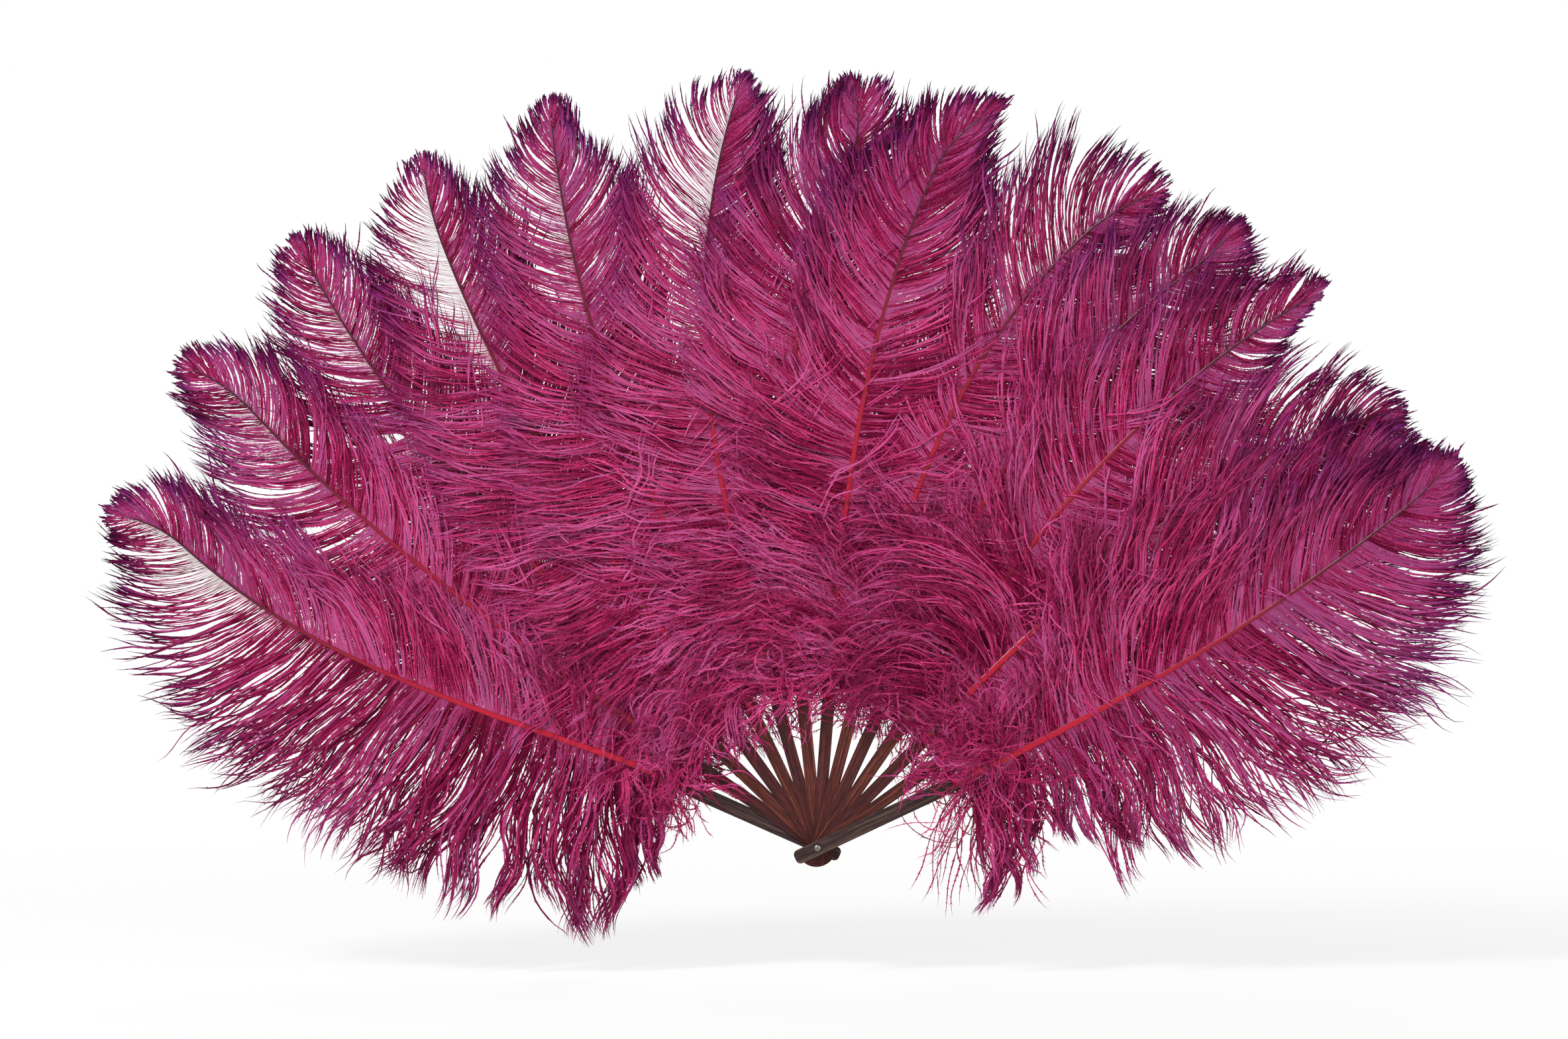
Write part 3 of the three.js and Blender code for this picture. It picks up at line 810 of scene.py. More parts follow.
# %% [markdown]
# A barb's numbers mean this. The radius is its root's distance from the rivet. Leave and curl turn it
# within the web, from square to the shaft towards the tip, and rise and rise_curl tilt it to the front, all
# in degrees. Wave is a slow sway that its lock shares, kink a quick one of its own, and hang the pull of
# its weight. Its leader is its tuft's middle barb, to which grip draws its outer part, and bunch draws it
# to its lock's middle barb.

# %% Paths of barbs
# Turns of sway and kink along a barb, and how much neighbours differ in turns and in phase
SWAYS = (0.8, 2.2)
KINKS = (2, 4)
SWAY_SPREAD = 0.1
PHASE_SPREAD = 0.9
CURL_POWER = 1.2
TILT_SWAY = 0.6
# Shares of a barb from which its tuft clings and its lock gathers
CLING_FROM = 0.3
GATHER_FROM = 0.2
# Roots stand just inside the sides of the shaft, as a share of its width
ROOT_OFFSET = 0.45


def grow(plume, barbs, rng):
    """Steps along every barb at once. Gives an array of paths, in millimetres."""
    count = len(barbs.radius)
    point, along, right = shaft_frame(plume, barbs.radius)
    out = right * barbs.side[:, None]
    phase = rng.uniform(0, 2 * np.pi, (2, count, 1))[:, barbs.lock]
    phase += rng.normal(0, PHASE_SPREAD, (2, count, 1))[:, barbs.leader]
    turns = rng.uniform(*SWAYS, (2, count, 1))[:, barbs.lock]
    turns += rng.normal(0, SWAY_SPREAD, (2, count, 1))
    sway = barbs.wave[:, None] * T * np.sin(2 * np.pi * turns * T + phase)
    kink = barbs.kink[:, None] * np.sin(2 * np.pi * rng.uniform(*KINKS, (count, 1)) * T + phase[0])
    turn = np.radians(barbs.leave[:, None] + barbs.curl[:, None] * T**CURL_POWER + sway[0] + kink)
    tilt = np.radians(barbs.rise[:, None] + barbs.rise_curl[:, None] * T + TILT_SWAY * sway[1])
    flat = np.cos(tilt)
    heading = np.empty((count, STEPS, 3))
    heading[..., 0] = flat * (np.cos(turn) * out[:, :1] + np.sin(turn) * along[:, :1])
    heading[..., 1] = -np.sin(tilt)
    heading[..., 2] = flat * (np.cos(turn) * out[:, 1:] + np.sin(turn) * along[:, 1:])
    heading[..., 2] -= barbs.hang[:, None] * T
    heading /= np.linalg.norm(heading, axis=-1, keepdims=True)
    path = np.zeros((count, STEPS, 3))
    path[:, 1:] = np.cumsum(heading[:, :-1] * (barbs.length / (STEPS - 1))[:, None, None], axis=1)
    share = np.clip((barbs.radius - BLADE_TIP) / (plume.tip - BLADE_TIP), 0, 1)
    offset = np.interp(share, [0, 1], QUILL_WIDTHS) * ROOT_OFFSET
    path[..., 0] += (point[:, 0] + out[:, 0] * offset)[:, None]
    path[..., 2] += (point[:, 1] + out[:, 1] * offset)[:, None]
    cling = barbs.grip[:, None, None] * smoothstep(T, CLING_FROM, 1)[:, None]
    path += cling * (path[barbs.leader] - path)
    gather = barbs.bunch[:, None, None] * smoothstep(T, GATHER_FROM, 1)[:, None]
    path += gather * (path[barbs.lock] - path)
    path[..., 1] += plume.level - dish(np.hypot(path[..., 0], path[..., 2]))
    path[..., 1] = pressed(path[..., 1])
    return path


# %% [markdown]
# A web is the row of barbs on one side of a shaft. Lengths follow the CAD webs, so that the feathered
# outline stays with the solids: shorter at the foot, full in the middle and drawn in to a rounded head. The
# hanging webs of the two end plumes have lengths of their own. Roots stand about three to a millimetre, and
# wider towards a lacy head.

# %% Lengths and roots of a web
# The first root's distance from the rivet, then barb lengths at the foot, in the middle and at the head
FIRST_BARB = 108
FOOT_BARB = 50
FULL_BARB = 88
HEAD_BARB = 13
# Shares of the web between which barbs are full in length
FULL_FROM = 0.3
FULL_TO = 0.55
# Lengths of hanging barbs at shares of the web
HANGING_PLACES = [0, 0.05, 0.3, 0.6, 0.8, 0.95, 1]
HANGING_BARBS = {"front": [96, 62, 126, 124, 78, 28, 12], "rear": [72, 126, 124, 106, 74, 28, 12]}
# Webs that are short or long at the head, against the others
ODD_HEADS = {(3, RIGHT): 0.55, (5, LEFT): 1.3}
ODD_SHARES = (0.6, 0.85)
# Roots stand close up to the second of these shares of the web, and then wider
ROOT_PLACES = [0, 0.45, 1]
CLOSE_ROOTS = 0.36
# Spacing at the head of a fluffy web and of a lacy one
HEAD_ROOTS = (0.37, 1.1)
ROOT_SAMPLES = 500


def barb_length(plume, side, share):
    """Lengths of barbs at shares of a web."""
    if side == plume.hanging_side:
        return np.interp(share, HANGING_PLACES, HANGING_BARBS[plume.label])
    past = np.maximum(0, share - FULL_TO) / (1 - FULL_TO)
    rising = FOOT_BARB + (FULL_BARB - FOOT_BARB) * smoothstep(share, 0, FULL_FROM)
    odd = 1 + (ODD_HEADS.get((plume.index, side), 1) - 1) * smoothstep(share, *ODD_SHARES)
    return odd * (rising + (HEAD_BARB - rising) * past**2)


def barb_roots(plume, lace):
    """Distances from the rivet to the barbs of one web, which stand wider towards a lacy head."""
    fine = np.linspace(0, 1, ROOT_SAMPLES)
    length = plume.tip - FIRST_BARB
    spacings = [CLOSE_ROOTS, CLOSE_ROOTS, np.interp(lace, [0, 1], HEAD_ROOTS)]
    spacing = np.interp(fine[1:], ROOT_PLACES, spacings)
    passed = np.concatenate([[0], np.cumsum(length / len(fine) / spacing)])
    return FIRST_BARB + length * np.interp(np.arange(int(passed[-1])) + 0.5, passed, fine)


print("barbs on the right of the front plume:", len(barb_roots(plumes[0], plumes[0].lace[RIGHT])))

# %% [markdown]
# Plumes don't lie quite in order. The rear guard's plume has slipped in front of its neighbours, so its
# upper web rises and theirs tuck back. Here and there a web also dips behind the next shaft and lets the
# red quill show, and one lower web has been brushed the wrong way, into a swirl.

# %% Where webs tuck back and swirl
# The plume whose left web tucks back, and the distances from the rivet between which the next quill shows
TUCKED = [
    (1, 115, 205),
    (2, 255, 310),
    (4, 112, 170),
    (4, 245, 340),
    (5, 230, 350),
    (7, 245, 295),
    (12, 100, 520),
    (11, 100, 520),
]
# Degrees of tilt, its fade in millimetres, and how far out a barb crosses, against its root
TUCK = 14
TUCK_FADE = 15
CROSSING = 1.14
# The plume and web that rise, and by how many degrees
RISEN = (13, RIGHT, 7)
# The plume and web with the swirl, and the distances from the rivet between which it lies
SWIRL = (2, LEFT, 140, 190)
SWIRL_FADE = 30


def between(value, low, high, fade):
    """1 between two values, fading smoothly to 0 outside them."""
    return smoothstep(value, low - fade, low) * (1 - smoothstep(value, high, high + fade))


def tuck(plume, side, radius):
    """How far barbs tilt back, in degrees. A barb crosses the next shaft further out than its root."""
    tilt = np.zeros(len(radius))
    crossing = radius * CROSSING
    for index, low, high in TUCKED:
        if side == LEFT and plume.index == index:
            tilt = np.maximum(tilt, TUCK * between(crossing, low, high, TUCK_FADE))
    if (plume.index, side) == RISEN[:2]:
        tilt -= RISEN[2]
    return tilt


def swirled(plume, side, radius):
    """1 where barbs are brushed over into the swirl, fading to 0 round it."""
    index, swirled_side, low, high = SWIRL
    return between(radius, low, high, SWIRL_FADE) * ((plume.index, side) == (index, swirled_side))


print("webs tucked back in", len(TUCKED), "places")

# %% [markdown]
# No two barbs are alike, but neighbours are nearly so. Chance therefore works on four scales: it drifts
# slowly along the shaft, and differs by lock, by tuft and by single barb. A web keeps these beside three
# shares that later steps ask for: how near a barb is to the soft foot, to the head, and to the spray at the
# very tip.

# %% What a web's barbs share
DRIFT_LENGTHS = (60, 190)
HEAD_SHARES = (0.45, 0.9)
SPRAY_POWER = 16
STRAY_SHARE = 0.06
# Webs that lie on others, and webs that hang. Droop and wave are in degrees, at the foot.
LYING = SimpleNamespace(lock_tufts=4, droop=30, wave=24, weight=0.35, cling=1, depth=0)
HANGING = SimpleNamespace(lock_tufts=5, droop=66, wave=70, weight=0.9, cling=0.45, depth=0.7)


def drift(radius, rng):
    """A slow change along the shaft, between about -1 and 1."""
    waves = [np.sin(2 * np.pi * (radius / rng.uniform(*DRIFT_LENGTHS) + rng.uniform())) for _ in range(3)]
    return sum(waves) / 2


def new_web(plume, side, rng):
    """The roots of a web, and what its barbs have in common."""
    hangs = side == plume.hanging_side
    kind = HANGING if hangs else LYING
    radius = barb_roots(plume, plume.lace[side])
    count = len(radius)
    share = np.clip((radius - WEB_START) / (plume.tip - WEB_START), 0, 1)
    number = tufts(count, rng)
    lock = number // kind.lock_tufts
    return SimpleNamespace(
        hangs=hangs,
        kind=kind,
        radius=radius,
        count=count,
        share=share,
        number=number,
        lock=lock,
        soft=(1 - share) ** 2,
        head=smoothstep(share, *HEAD_SHARES),
        spray=share**SPRAY_POWER,
        stray=rng.uniform(0, 1, count) < STRAY_SHARE,
        drift=lambda: drift(radius, rng),
        by_lock=lambda spread: rng.normal(0, 1, count)[lock] * spread,
        by_tuft=lambda spread: rng.normal(0, spread, count)[number],
        by_barb=lambda spread: rng.normal(0, spread, count),
    )


print(f"strays: {STRAY_SHARE:.0%} of the barbs")

# %% [markdown]
# In the plane of its web, a barb leaves the shaft at a wide angle and then curves like a C until it almost
# follows the shaft. Barbs of upper webs are swept further along. At the foot they droop, and at the tip
# they spray out.

# %% Sweep of a web
# Degrees in which barbs leave and curl, drop at the foot and spray out at the tip
LEAVE = 28
CURL = 54
FOOT_DROP = 42
TIP_SPRAY = 50
# Upper webs are swept this far along, less towards the head, and curl less for it
UPPER_SWEEP = 18
UPPER_EASE = 0.4
UPPER_UNCURL = 0.6
# Lower webs stay a little squarer in the middle
SQUARE_MIDDLE = 6
# One plume has a sleek head, whose webs are swept alike
SLEEK_HEAD = 6
SLEEK_SWEEP = 0.4
SLEEK_LEAVE = 16
SWIRL_TURN = -115
SWIRL_STRETCH = 0.9
# Chance on its four scales: in shares of the length, and in degrees of leave and curl
LENGTH_CHANCE = SimpleNamespace(drift=0.05, tuft=0.06, barb=0.06)
LEAVE_CHANCE = SimpleNamespace(drift=4, lock=1.5, tuft=2, barb=2.2)
CURL_CHANCE = SimpleNamespace(drift=9, lock=3, tuft=5, barb=6)
# What the soft foot, the head and the spray add to it, in degrees
FOOT_DRIFT = 10
FOOT_SPREAD = 4
HEAD_LOCK_LEAVE = 2
HEAD_LOCK_CURL = 4
SPRAY_SPREAD = 8


def web_sweep(web, plume, side, brushed):
    """Each barb's length, and its leaving angle and curl in degrees."""
    soft, head, spray = web.soft, web.head, web.spray
    chance = LENGTH_CHANCE
    length = barb_length(plume, side, web.share)
    length *= 1 + chance.drift * web.drift() + web.by_tuft(chance.tuft) + web.by_barb(chance.barb)
    chance = LEAVE_CHANCE
    leave = LEAVE - FOOT_DROP * soft + TIP_SPRAY * spray + (chance.drift + FOOT_DRIFT * soft) * web.drift()
    leave += (
        web.by_lock(chance.lock + HEAD_LOCK_LEAVE * head)
        + web.by_tuft(chance.tuft)
        + web.by_barb(chance.barb + FOOT_SPREAD * soft + SPRAY_SPREAD * spray)
    )
    chance = CURL_CHANCE
    curl = CURL - TIP_SPRAY * spray + (chance.drift + FOOT_DRIFT * soft) * web.drift()
    curl += (
        web.by_lock(chance.lock + HEAD_LOCK_CURL * head)
        + web.by_tuft(chance.tuft)
        + web.by_barb(chance.barb + FOOT_SPREAD * soft)
    )
    curl += SWIRL_TURN * brushed - web.kind.droop * soft
    length *= 1 + SWIRL_STRETCH * brushed
    sleek = plume.index == SLEEK_HEAD
    if side == plume.upper_side:
        sweep = UPPER_SWEEP * (SLEEK_SWEEP if sleek else 1)
        leave += sweep * (1 - UPPER_EASE * head)
        curl -= UPPER_UNCURL * sweep
    else:
        curl -= SQUARE_MIDDLE * (1 - head)
        leave += (SLEEK_LEAVE if sleek else 0) * head
    return length, leave, curl


print("a barb turns from", LEAVE, "to about", LEAVE + CURL, "degrees")

# %% [markdown]
# The rest of a web's numbers: left webs rise over the next plume and right webs dip under the one before,
# like shingles. The foot waves and sags most. Tufts hold tighter towards the head, and the fringe of a
# hanging web gathers into locks. Tone says how light a barb's dye came out, less painted shade on the swirl
# and on the soft foot. Plumes to the left have faded a little.

# %% Ranges of a web's numbers
# How much longer and wavier strays are
STRAY_LENGTH = 1.15
STRAY_WAVE = 2.5
# Degrees by which webs rise to the front or dip back
LEFT_RISE = 2.5
RIGHT_RISE = -3
RIGHT_FOOT_RISE = -5
# Shares over which the fringe of a hanging web ends, and how far its locks gather
FRINGE_SHARES = (0.15, 0.5)
FRINGE_BUNCH = 0.65
# Webs turn sleek between these shares: tufts let go, and barbs are wider
SMOOTH_TIP = (0.8, 0.97)
SLEEKNESS = 0.8
SLEEK_WIDTH = 0.5
# Chance on its scales for the tilt, in degrees, which the soft foot ruffles up
RISE_CHANCE = SimpleNamespace(tuft=1.5, barb=0.7)
RISE_CURL_CHANCE = SimpleNamespace(drift=2, tuft=2, barb=1)
FOOT_RUFFLE = 3
LEAST_WAVE = 4
KINK_RANGE = (0, 2)
FOOT_KINK = 9
# Spreads about 1 of sway and weight, of width, and of barbule length
SWAY_RANGE = (0.6, 1.4)
WIDTH_RANGE = (0.75, 1.25)
FUZZ_RANGE = (0.7, 1.3)
# Grip of tufts in the soft part, more of it in a fringe, and grip at the head
LOOSE_GRIPS = (0, 0.35)
FRINGE_GRIP = 0.25
TIGHT_GRIPS = (0.05, 0.6)
PLAIN_TONE = 0.54
FADED_TONE = 0.62
HANGING_TONES = {"front": 0.66, "rear": 0.34}
HANGING_WIDTHS = {"front": 1.15, "rear": 1.2}
TONE_CHANCE = SimpleNamespace(drift=0.15, lock=0.13, tuft=0.24, barb=0.2)
# Painted shade on the swirl and on the soft foot, taken off the tone
SWIRL_SHADE = 0.32
FOOT_SHADE = 0.14
HEAD_LIGHT = 0.04
# Barbule length in millimetres at the foot, middle and head of a web
FUZZ_PARTS = [0, 0.5, 1]
FUZZ = [1.5, 1.0, 0.8]
# Shares of a fluffy web between which barbs turn bare at the root, and how much sooner on a lacy one
BARE_SHARES = (0.8, 0.95)
LACY_SOONER = (0.2, 0.15)
# How far along the dye barbs reach, at shares of the web: only at the head do they get its dark points
DIP_SHARES = [0.35, 0.8]
DIPS = [0.72, 1.0]


def web_tone(web, plume):
    """How light the dye of a web came out."""
    if web.hangs:
        return HANGING_TONES[plume.label]
    return FADED_TONE if plume.index > FIRST_LEFTWARD else PLAIN_TONE


print("tone of plain webs:", PLAIN_TONE, "and of faded webs:", FADED_TONE)

# %% Barbs of a web
def web_barbs(plume, side, rng):
    """The numbers of every barb in one web."""
    web = new_web(plume, side, rng)
    count, share, soft, head = web.count, web.share, web.soft, web.head
    brushed = swirled(plume, side, web.radius)
    length, leave, curl = web_sweep(web, plume, side, brushed)
    shingle = LEFT_RISE if side == LEFT else RIGHT_RISE + RIGHT_FOOT_RISE * soft
    ruffle = 1 + FOOT_RUFFLE * soft
    sleek = SLEEKNESS * (head if plume.index == SLEEK_HEAD else smoothstep(share, *SMOOTH_TIP))
    fringe = web.hangs * (1 - smoothstep(share, *FRINGE_SHARES))
    loose = rng.uniform(*LOOSE_GRIPS, count)[web.number] + FRINGE_GRIP * fringe
    tight = rng.uniform(*TIGHT_GRIPS, count)[web.number] * web.kind.cling
    chance = RISE_CHANCE
    rise = shingle + ruffle * (web.drift() + web.by_tuft(chance.tuft) + web.by_barb(chance.barb))
    chance = RISE_CURL_CHANCE
    rise_curl = chance.drift * web.drift() + web.by_tuft(chance.tuft) + web.by_barb(chance.barb)
    wave = (LEAST_WAVE + web.kind.wave * soft) * rng.uniform(*SWAY_RANGE, count)
    kink = rng.uniform(*KINK_RANGE, count) + FOOT_KINK * soft
    hang = web.kind.weight * soft * rng.uniform(*SWAY_RANGE, count)
    chance = TONE_CHANCE
    # Painted shade darkens the barbs of the swirl and of the soft foot
    tone = web_tone(web, plume) - SWIRL_SHADE * brushed - FOOT_SHADE * soft + chance.drift * web.drift()
    tone = tone + web.by_lock(chance.lock) + web.by_tuft(chance.tuft) + web.by_barb(chance.barb)
    width = rng.uniform(*WIDTH_RANGE, count) * (HANGING_WIDTHS[plume.label] if web.hangs else 1)
    lace = plume.lace[side]
    bare_from, bare_to = (plain - sooner * lace for plain, sooner in zip(BARE_SHARES, LACY_SOONER))
    return SimpleNamespace(
        radius=web.radius,
        side=np.full(count, side),
        length=length * np.where(web.stray, STRAY_LENGTH, 1),
        leave=leave,
        curl=curl,
        rise=rise - tuck(plume, side, web.radius),
        rise_curl=ruffle * rise_curl,
        wave=wave * np.where(web.stray, STRAY_WAVE, 1),
        kink=kink,
        hang=hang,
        lock=middle_barb(web.lock),
        bunch=FRINGE_BUNCH * fringe,
        leader=middle_barb(web.number),
        grip=np.where(web.stray, 0, loose + head * (tight - loose)) * (1 - sleek),
        tone=tone + HEAD_LIGHT * head,
        depth=np.maximum(head, web.kind.depth),
        width=width * (1 + SLEEK_WIDTH * sleek),
        fuzz=np.interp(share, FUZZ_PARTS, FUZZ) * rng.uniform(*FUZZ_RANGE, count),
        bareness=lace * smoothstep(share, bare_from, bare_to),
        dip=np.interp(share, DIP_SHARES, DIPS),
    )


# %% [markdown]
# The down at a plume's foot is the softest part: short, wavy barbs that point every way and hang over the
# tips of the sticks. A few of them curl up into loops.

# %% Down
DOWN_BARBS = 110
GUARD_DOWN_BARBS = 230
# Ranges and spreads of the down's numbers, in millimetres and degrees
DOWN = SimpleNamespace(
    roots=(99, 140),
    root_spread=2,
    lengths=(26, 64),
    lowest_leave=-80,
    highest_leave=55,
    leave_spread=10,
    curl_spread=45,
    left_rise=4,
    right_rise=-8,
    rise_spread=16,
    rise_curl_spread=25,
    waves=(20, 60),
    kinks=(4, 14),
    weights=(0.2, 0.9),
    grips=(0.2, 0.7),
    tone=0.4,
    tone_spread=0.22,
    widths=(0.6, 1),
    fuzz=(0.8, 1.8),
    dip=0.75,
)
LOOPED_SHARE = 0.08
LOOP_CURLS = (300, 460)
LOOP_LENGTH = 1.5
LOOP_WAVE = 0.3
LOOP_WEIGHT = 0.5
# On the hanging side of the front guard the down is longer and heavier
FRONT_DANGLE = 1.8
print("down barbs on a stick and on a guard:", DOWN_BARBS, "and", GUARD_DOWN_BARBS)

# %% Barbs of the down
def down_barbs(plume, rng):
    """The numbers of every barb in the down at a plume's foot."""
    count = GUARD_DOWN_BARBS if plume.hanging_side else DOWN_BARBS
    number = tufts(count, rng)
    side = np.where(rng.uniform(0, 1, count)[number] < 0.5, LEFT, RIGHT)
    dangles = side == plume.hanging_side
    radius = rng.uniform(*DOWN.roots, count)[number] + rng.normal(0, DOWN.root_spread, count)
    looped = rng.uniform(0, 1, count) < LOOPED_SHARE
    dangle = np.where(dangles, FRONT_DANGLE if plume.label == "front" else 1, 1)
    loop = rng.choice([-1, 1], count) * rng.uniform(*LOOP_CURLS, count)
    curl = np.where(looped, loop, rng.normal(0, DOWN.curl_spread, count)[number])
    length = rng.uniform(*DOWN.lengths, count) * np.where(looped, LOOP_LENGTH, 1) * dangle
    leave = rng.uniform(DOWN.lowest_leave, np.where(dangles, 0, DOWN.highest_leave), count)[number]
    leave += rng.normal(0, DOWN.leave_spread, count)
    rise = np.where(side == LEFT, DOWN.left_rise, DOWN.right_rise)
    return SimpleNamespace(
        radius=radius,
        side=side,
        length=length,
        leave=leave,
        curl=curl,
        rise=rise + rng.normal(0, DOWN.rise_spread, count)[number],
        rise_curl=rng.normal(0, DOWN.rise_curl_spread, count),
        wave=rng.uniform(*DOWN.waves, count) * np.where(looped, LOOP_WAVE, 1),
        kink=rng.uniform(*DOWN.kinks, count),
        hang=rng.uniform(*DOWN.weights, count) * np.where(looped, LOOP_WEIGHT, 1) * dangle,
        lock=middle_barb(number),
        bunch=np.zeros(count),
        leader=middle_barb(number),
        grip=np.where(looped, 0, rng.uniform(*DOWN.grips, count)),
        tone=DOWN.tone + rng.normal(0, DOWN.tone_spread, count)[number],
        depth=np.zeros(count),
        width=rng.uniform(*DOWN.widths, count),
        fuzz=rng.uniform(*DOWN.fuzz, count),
        bareness=np.zeros(count),
        dip=np.full(count, DOWN.dip),
    )


# %% [markdown]
# Each path becomes a ribbon about a millimetre wide, which narrows to its root and to its tip. At every
# step one barbule leaves it on each side: a hair as wide as the ribbon at its foot, swept well forward and
# ending in a point. Real barbules stand four to a millimetre, too fine to show, so each hair stands for a
# lock of them. Towards a lacy head the inner third of a barb is thin and nearly bare.

# %% Faces of ribbons
def unit(vectors):
    """The same directions, with a length of 1."""
    return vectors / np.maximum(np.linalg.norm(vectors, axis=-1, keepdims=True), 1e-9)


def ribbon_faces(count):
    """Triangles of one ribbon, repeated: two for each step of the spine, and one barbule on each side."""
    low = np.arange(STEPS - 1)
    left = low
    right = low + STEPS
    left_hair = low + 2 * STEPS
    right_hair = left_hair + STEPS - 1
    one = np.concatenate(
        [
            np.stack([left, right, right + 1], 1),
            np.stack([left, right + 1, left + 1], 1),
            np.stack([left, right, left_hair], 1),
            np.stack([left, right, right_hair], 1),
        ]
    )
    size = 4 * STEPS - 2
    return (one[None] + (np.arange(count) * size)[:, None, None]).reshape(-1, 3)


print("triangles in one barb:", len(ribbon_faces(1)))

# %% Points of ribbons
# Widths in millimetres and shares of the barbules' length, at places along a barb
WIDTH_PLACES = [0, 0.12, 0.4, 0.86, 1]
FLUFFY_WIDTHS = [0.6, 0.85, 0.95, 0.8, 0.1]
BARE_ROOTED_WIDTHS = [0.22, 0.2, 0.4, 0.9, 0.12]
FUZZ_PLACES = [0, 0.12, 0.42, 0.88, 1]
FLUFFY_FUZZ = [0.7, 0.9, 1, 0.8, 0.15]
BARE_ROOTED_FUZZ = [0, 0, 0.3, 0.9, 0.1]
# Roll of the ribbons in radians: a tuft's own, its twist towards the tip, and a single barb's
TUFT_ROLL = 0.2
TUFT_TWIST = 0.4
BARB_ROLL = 0.15
# Chance in a ribbon's half width and in a hair's length, as shares, and the hairs' sweep and lift
RAGGED = (0.5, 1.5)
BARBULE_LENGTHS = (0.2, 1.5)
BARBULE_SWEEP = 1.3
BARBULE_LIFT = 0.5


def ribbons(path, barbs, rng):
    """Points of the ribbons along all paths, and how far along its barb each point lies."""
    count = len(path)
    ahead = unit(np.gradient(path, axis=1))
    flat = unit(np.cross(ahead, [0, 1, 0]))
    up = np.cross(flat, ahead)
    roll = rng.normal(0, TUFT_ROLL, (count, 1))[barbs.leader]
    roll = roll + rng.normal(0, TUFT_TWIST, (count, 1))[barbs.leader] * T
    roll += rng.normal(0, BARB_ROLL, (count, 1))
    across = np.cos(roll)[..., None] * flat + np.sin(roll)[..., None] * up
    above = np.cos(roll)[..., None] * up - np.sin(roll)[..., None] * flat
    bare = barbs.bareness[:, None]

    def blended(at, places, fluffy, bare_rooted):
        full = np.interp(at, places, fluffy)
        return full + bare * (np.interp(at, places, bare_rooted) - full)

    width = barbs.width[:, None] * blended(T, WIDTH_PLACES, FLUFFY_WIDTHS, BARE_ROOTED_WIDTHS)
    half = width * rng.uniform(*RAGGED, (2, count, STEPS)) / 2
    edges = [path - across * half[0, ..., None], path + across * half[1, ..., None]]
    foot_t = T[:-1]
    fuzz = barbs.fuzz[:, None] * blended(foot_t, FUZZ_PLACES, FLUFFY_FUZZ, BARE_ROOTED_FUZZ)
    hairs = []
    for side in (LEFT, RIGHT):
        long = fuzz[..., None] * rng.uniform(*BARBULE_LENGTHS, (count, STEPS - 1, 1))
        lift = rng.normal(0, BARBULE_LIFT, (count, STEPS - 1, 1))
        spread = side * across[:, :-1] + above[:, :-1] * lift
        hairs.append(path[:, :-1] + long * (spread + ahead[:, :-1] * BARBULE_SWEEP))
    place = np.concatenate([T, T, foot_t, foot_t])
    return np.concatenate([*edges, *hairs], axis=1), barbs.dip[:, None] * place


# %% [markdown]
# ## Dyed barbs
#
# The feathers were dyed whole. Near the shafts the barbs are a deep crimson, partly dye and partly painted
# shade of the hollows there; the dye went magenta along the barbs, and left violet lights and nearly black
# points at the ends. Matt keratin fibres give a soft sheen rather than a shine. Three numbers that every
# point carries drive the colour: how far along its barb it lies, the tone of its barb with its painted shade
# and highlight, and a depth that is greatest towards the heads. Noise adds patches a few centimetres wide,
# and a speckle at the size of the hairs.

# %% Tone of a barb
DYE_PATCH = 28
BARBULE = 0.8
BARBULE_SHADE = 0.7
# The sum of tone, patch and speckle at the two ends of the dye's range
TONE_RANGE = (0.85, 1.65)

barb_dye, tree, shader = new_material("dyed_ostrich_barbs", Roughness=0.62, IOR=1.54)
shader.inputs["Specular IOR Level"].default_value = 0.05
shader.inputs["Sheen Weight"].default_value = 0.06
shader.inputs["Sheen Roughness"].default_value = 0.45
shader.inputs["Sheen Tint"].default_value = linear("#e08fc4")
along = add_node(tree, "ShaderNodeAttribute", attribute_name="along").outputs["Fac"]
tone = add_node(tree, "ShaderNodeAttribute", attribute_name="tone").outputs["Fac"]
depth = add_node(tree, "ShaderNodeAttribute", attribute_name="depth").outputs["Fac"]
place = add_node(tree, "ShaderNodeTexCoord").outputs["Object"]
sized = add_node(
    tree, "ShaderNodeMapping", {"Vector": place, "Scale": [DYE_PATCH * MM] * 3}, vector_type="TEXTURE"
)
patches = add_node(tree, "ShaderNodeTexNoise", {"Vector": sized.outputs[0], "Scale": 1, "Detail": 3})
fine = add_node(
    tree, "ShaderNodeMapping", {"Vector": place, "Scale": [BARBULE * MM] * 3}, vector_type="TEXTURE"
)
barbules = add_node(tree, "ShaderNodeTexNoise", {"Vector": fine.outputs[0], "Scale": 1, "Detail": 2})
speckle = add_node(
    tree,
    "ShaderNodeMath",
    {0: barbules.outputs["Fac"], 1: BARBULE_SHADE, 2: tone},
    operation="MULTIPLY_ADD",
)
mood = add_node(
    tree, "ShaderNodeMath", {0: speckle.outputs[0], 1: patches.outputs["Fac"]}, operation="ADD"
)
spread = add_node(
    tree,
    "ShaderNodeMapRange",
    {"Value": mood.outputs[0], "From Min": TONE_RANGE[0], "From Max": TONE_RANGE[1]},
)
print("dye patches of", DYE_PATCH, "mm")

# %% Dye of a barb
TONE_WEIGHT = 0.65
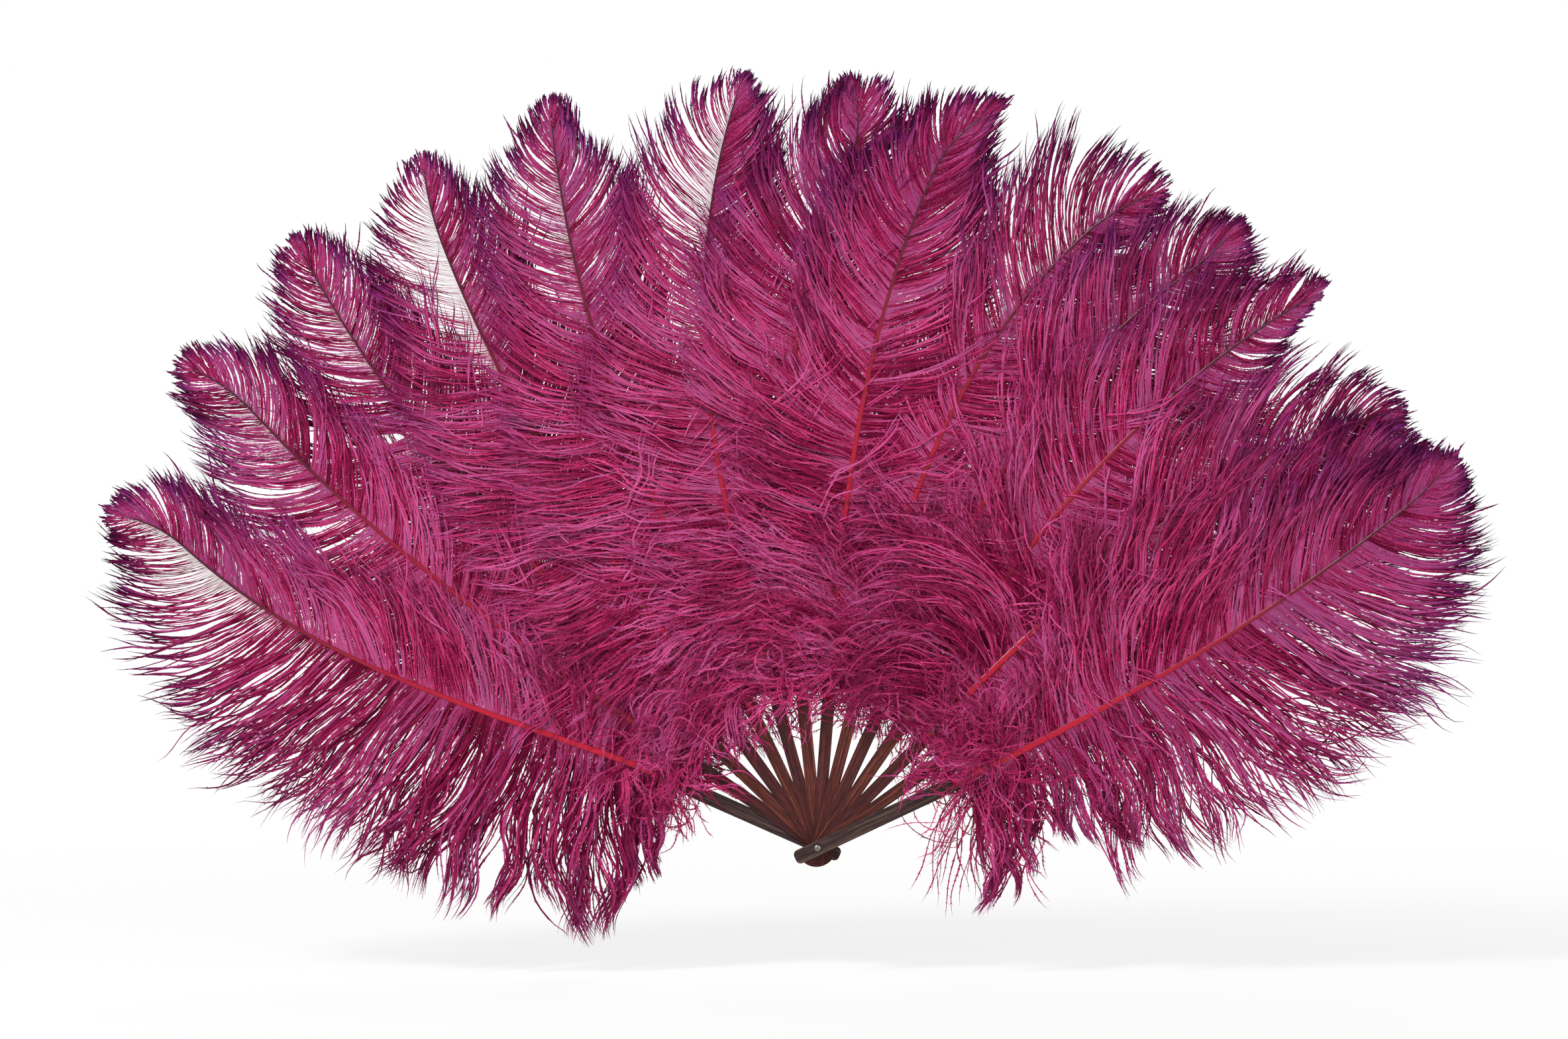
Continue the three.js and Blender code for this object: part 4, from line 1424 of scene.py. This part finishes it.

# Deep crimson at the root is partly dye and partly painted shade of the hollows by the shaft
dye_and_root_shade = add_node(
    tree,
    "ShaderNodeValToRGB",
    {"Fac": along},
    stops=[(0.0, "#70102f"), (0.25, "#ac2058"), (0.65, "#b43a74"), (1.0, "#983c78")],
)
tone_dye_and_shade = add_node(
    tree,
    "ShaderNodeValToRGB",
    {"Fac": spread.outputs[0]},
    stops=[(0.05, "#5c0228"), (0.3, "#a4144a"), (0.52, "#c8326e"), (0.76, "#d0528c"), (0.98, "#c0609a")],
)
even = add_node(
    tree,
    "ShaderNodeMix",
    {0: TONE_WEIGHT, 6: dye_and_root_shade.outputs[0], 7: tone_dye_and_shade.outputs[0]},
    data_type="RGBA",
)
deep = add_node(
    tree,
    "ShaderNodeMix",
    {0: depth, 6: even.outputs[2], 7: linear("#d2c8da")},
    data_type="RGBA",
    blend_type="MULTIPLY",
)
rim = add_node(
    tree,
    "ShaderNodeValToRGB",
    {"Fac": along},
    stops=[(0.58, "#ffffff"), (0.84, "#b484c4"), (1.0, "#4c2c5c")],
)
colour = add_node(
    tree,
    "ShaderNodeMix",
    {0: 1.0, 6: deep.outputs[2], 7: rim.outputs[0]},
    data_type="RGBA",
    blend_type="MULTIPLY",
)
tree.links.new(colour.outputs[2], shader.inputs["Base Color"])
print("material:", barb_dye.name)

# %% [markdown]
# ## Growing the plumes
#
# All barbs of a plume become one mesh, written straight from arrays, because Python would take minutes to
# add them one by one. Each ribbon has painted shade along one edge and a painted highlight along the other,
# so that a strand looks round. A flat layout gives every barb a strip of its own, for baking. Each plume has
# its own seed, so that it grows the same each time.

# %% Mesh of a plume
SEED = 41
# Painted shade on one edge of each ribbon and a painted highlight on the other, added to its tone
EDGE_SHADE_AND_HIGHLIGHT = (-0.42, 0.24)
BARBULE_TONE = 0.05
# Across the strip of a barb in the flat layout: the two edges, then the points of the hairs on each side
STRIP_PLACES = (0.35, 0.65, 0.05, 0.95)


def joined(groups):
    """One set of barbs out of several, with the middle barbs of tufts and locks still found."""
    start = 0
    for group in groups:
        group.leader = group.leader + start
        group.lock = group.lock + start
        start += len(group.radius)
    names = vars(groups[0])
    return SimpleNamespace(**{name: np.concatenate([getattr(g, name) for g in groups]) for name in names})


def feather_mesh(plume):
    """All barbs of one plume as one mesh."""
    rng = np.random.default_rng(SEED + plume.index)
    barbs = joined([web_barbs(plume, RIGHT, rng), web_barbs(plume, LEFT, rng), down_barbs(plume, rng)])
    points, place = ribbons(grow(plume, barbs, rng), barbs, rng)
    count, size = place.shape
    faces = ribbon_faces(count)
    mesh = bpy.data.meshes.new(f"feather_{plume.label}")
    mesh.vertices.add(count * size)
    mesh.vertices.foreach_set("co", (points * MM).ravel())
    mesh.loops.add(faces.size)
    mesh.loops.foreach_set("vertex_index", faces.ravel())
    mesh.polygons.add(len(faces))
    mesh.polygons.foreach_set("loop_start", np.arange(0, faces.size, 3))
    mesh.polygons.foreach_set("use_smooth", np.ones(len(faces), bool))
    parts = [STEPS, STEPS, STEPS - 1, STEPS - 1]
    shades = np.repeat([*EDGE_SHADE_AND_HIGHLIGHT, BARBULE_TONE, BARBULE_TONE], parts)
    carry(mesh, along=place, tone=barbs.tone[:, None] + shades, depth=np.repeat(barbs.depth, size))
    strip = (np.arange(count)[:, None] + np.repeat(STRIP_PLACES, parts)) / count
    layout = np.stack([place.ravel(), strip.ravel()], 1)[faces.ravel()]
    mesh.uv_layers.new(name="OFBake").data.foreach_set("uv", layout.ravel())
    mesh.materials.append(barb_dye)
    mesh.update(calc_edges=True)
    mesh.validate()
    return mesh


# %% Grow the plumes
totals = []
for plume in plumes:
    mesh = feather_mesh(plume)
    totals.append(len(mesh.polygons))
    add_piece(mesh, plume.body, f"plume_{plume.label}")
print("barb triangles:", sum(totals), "at most", max(totals), "in a plume")

# %% [markdown]
# The looks may stand only a little proud of the CAD model.
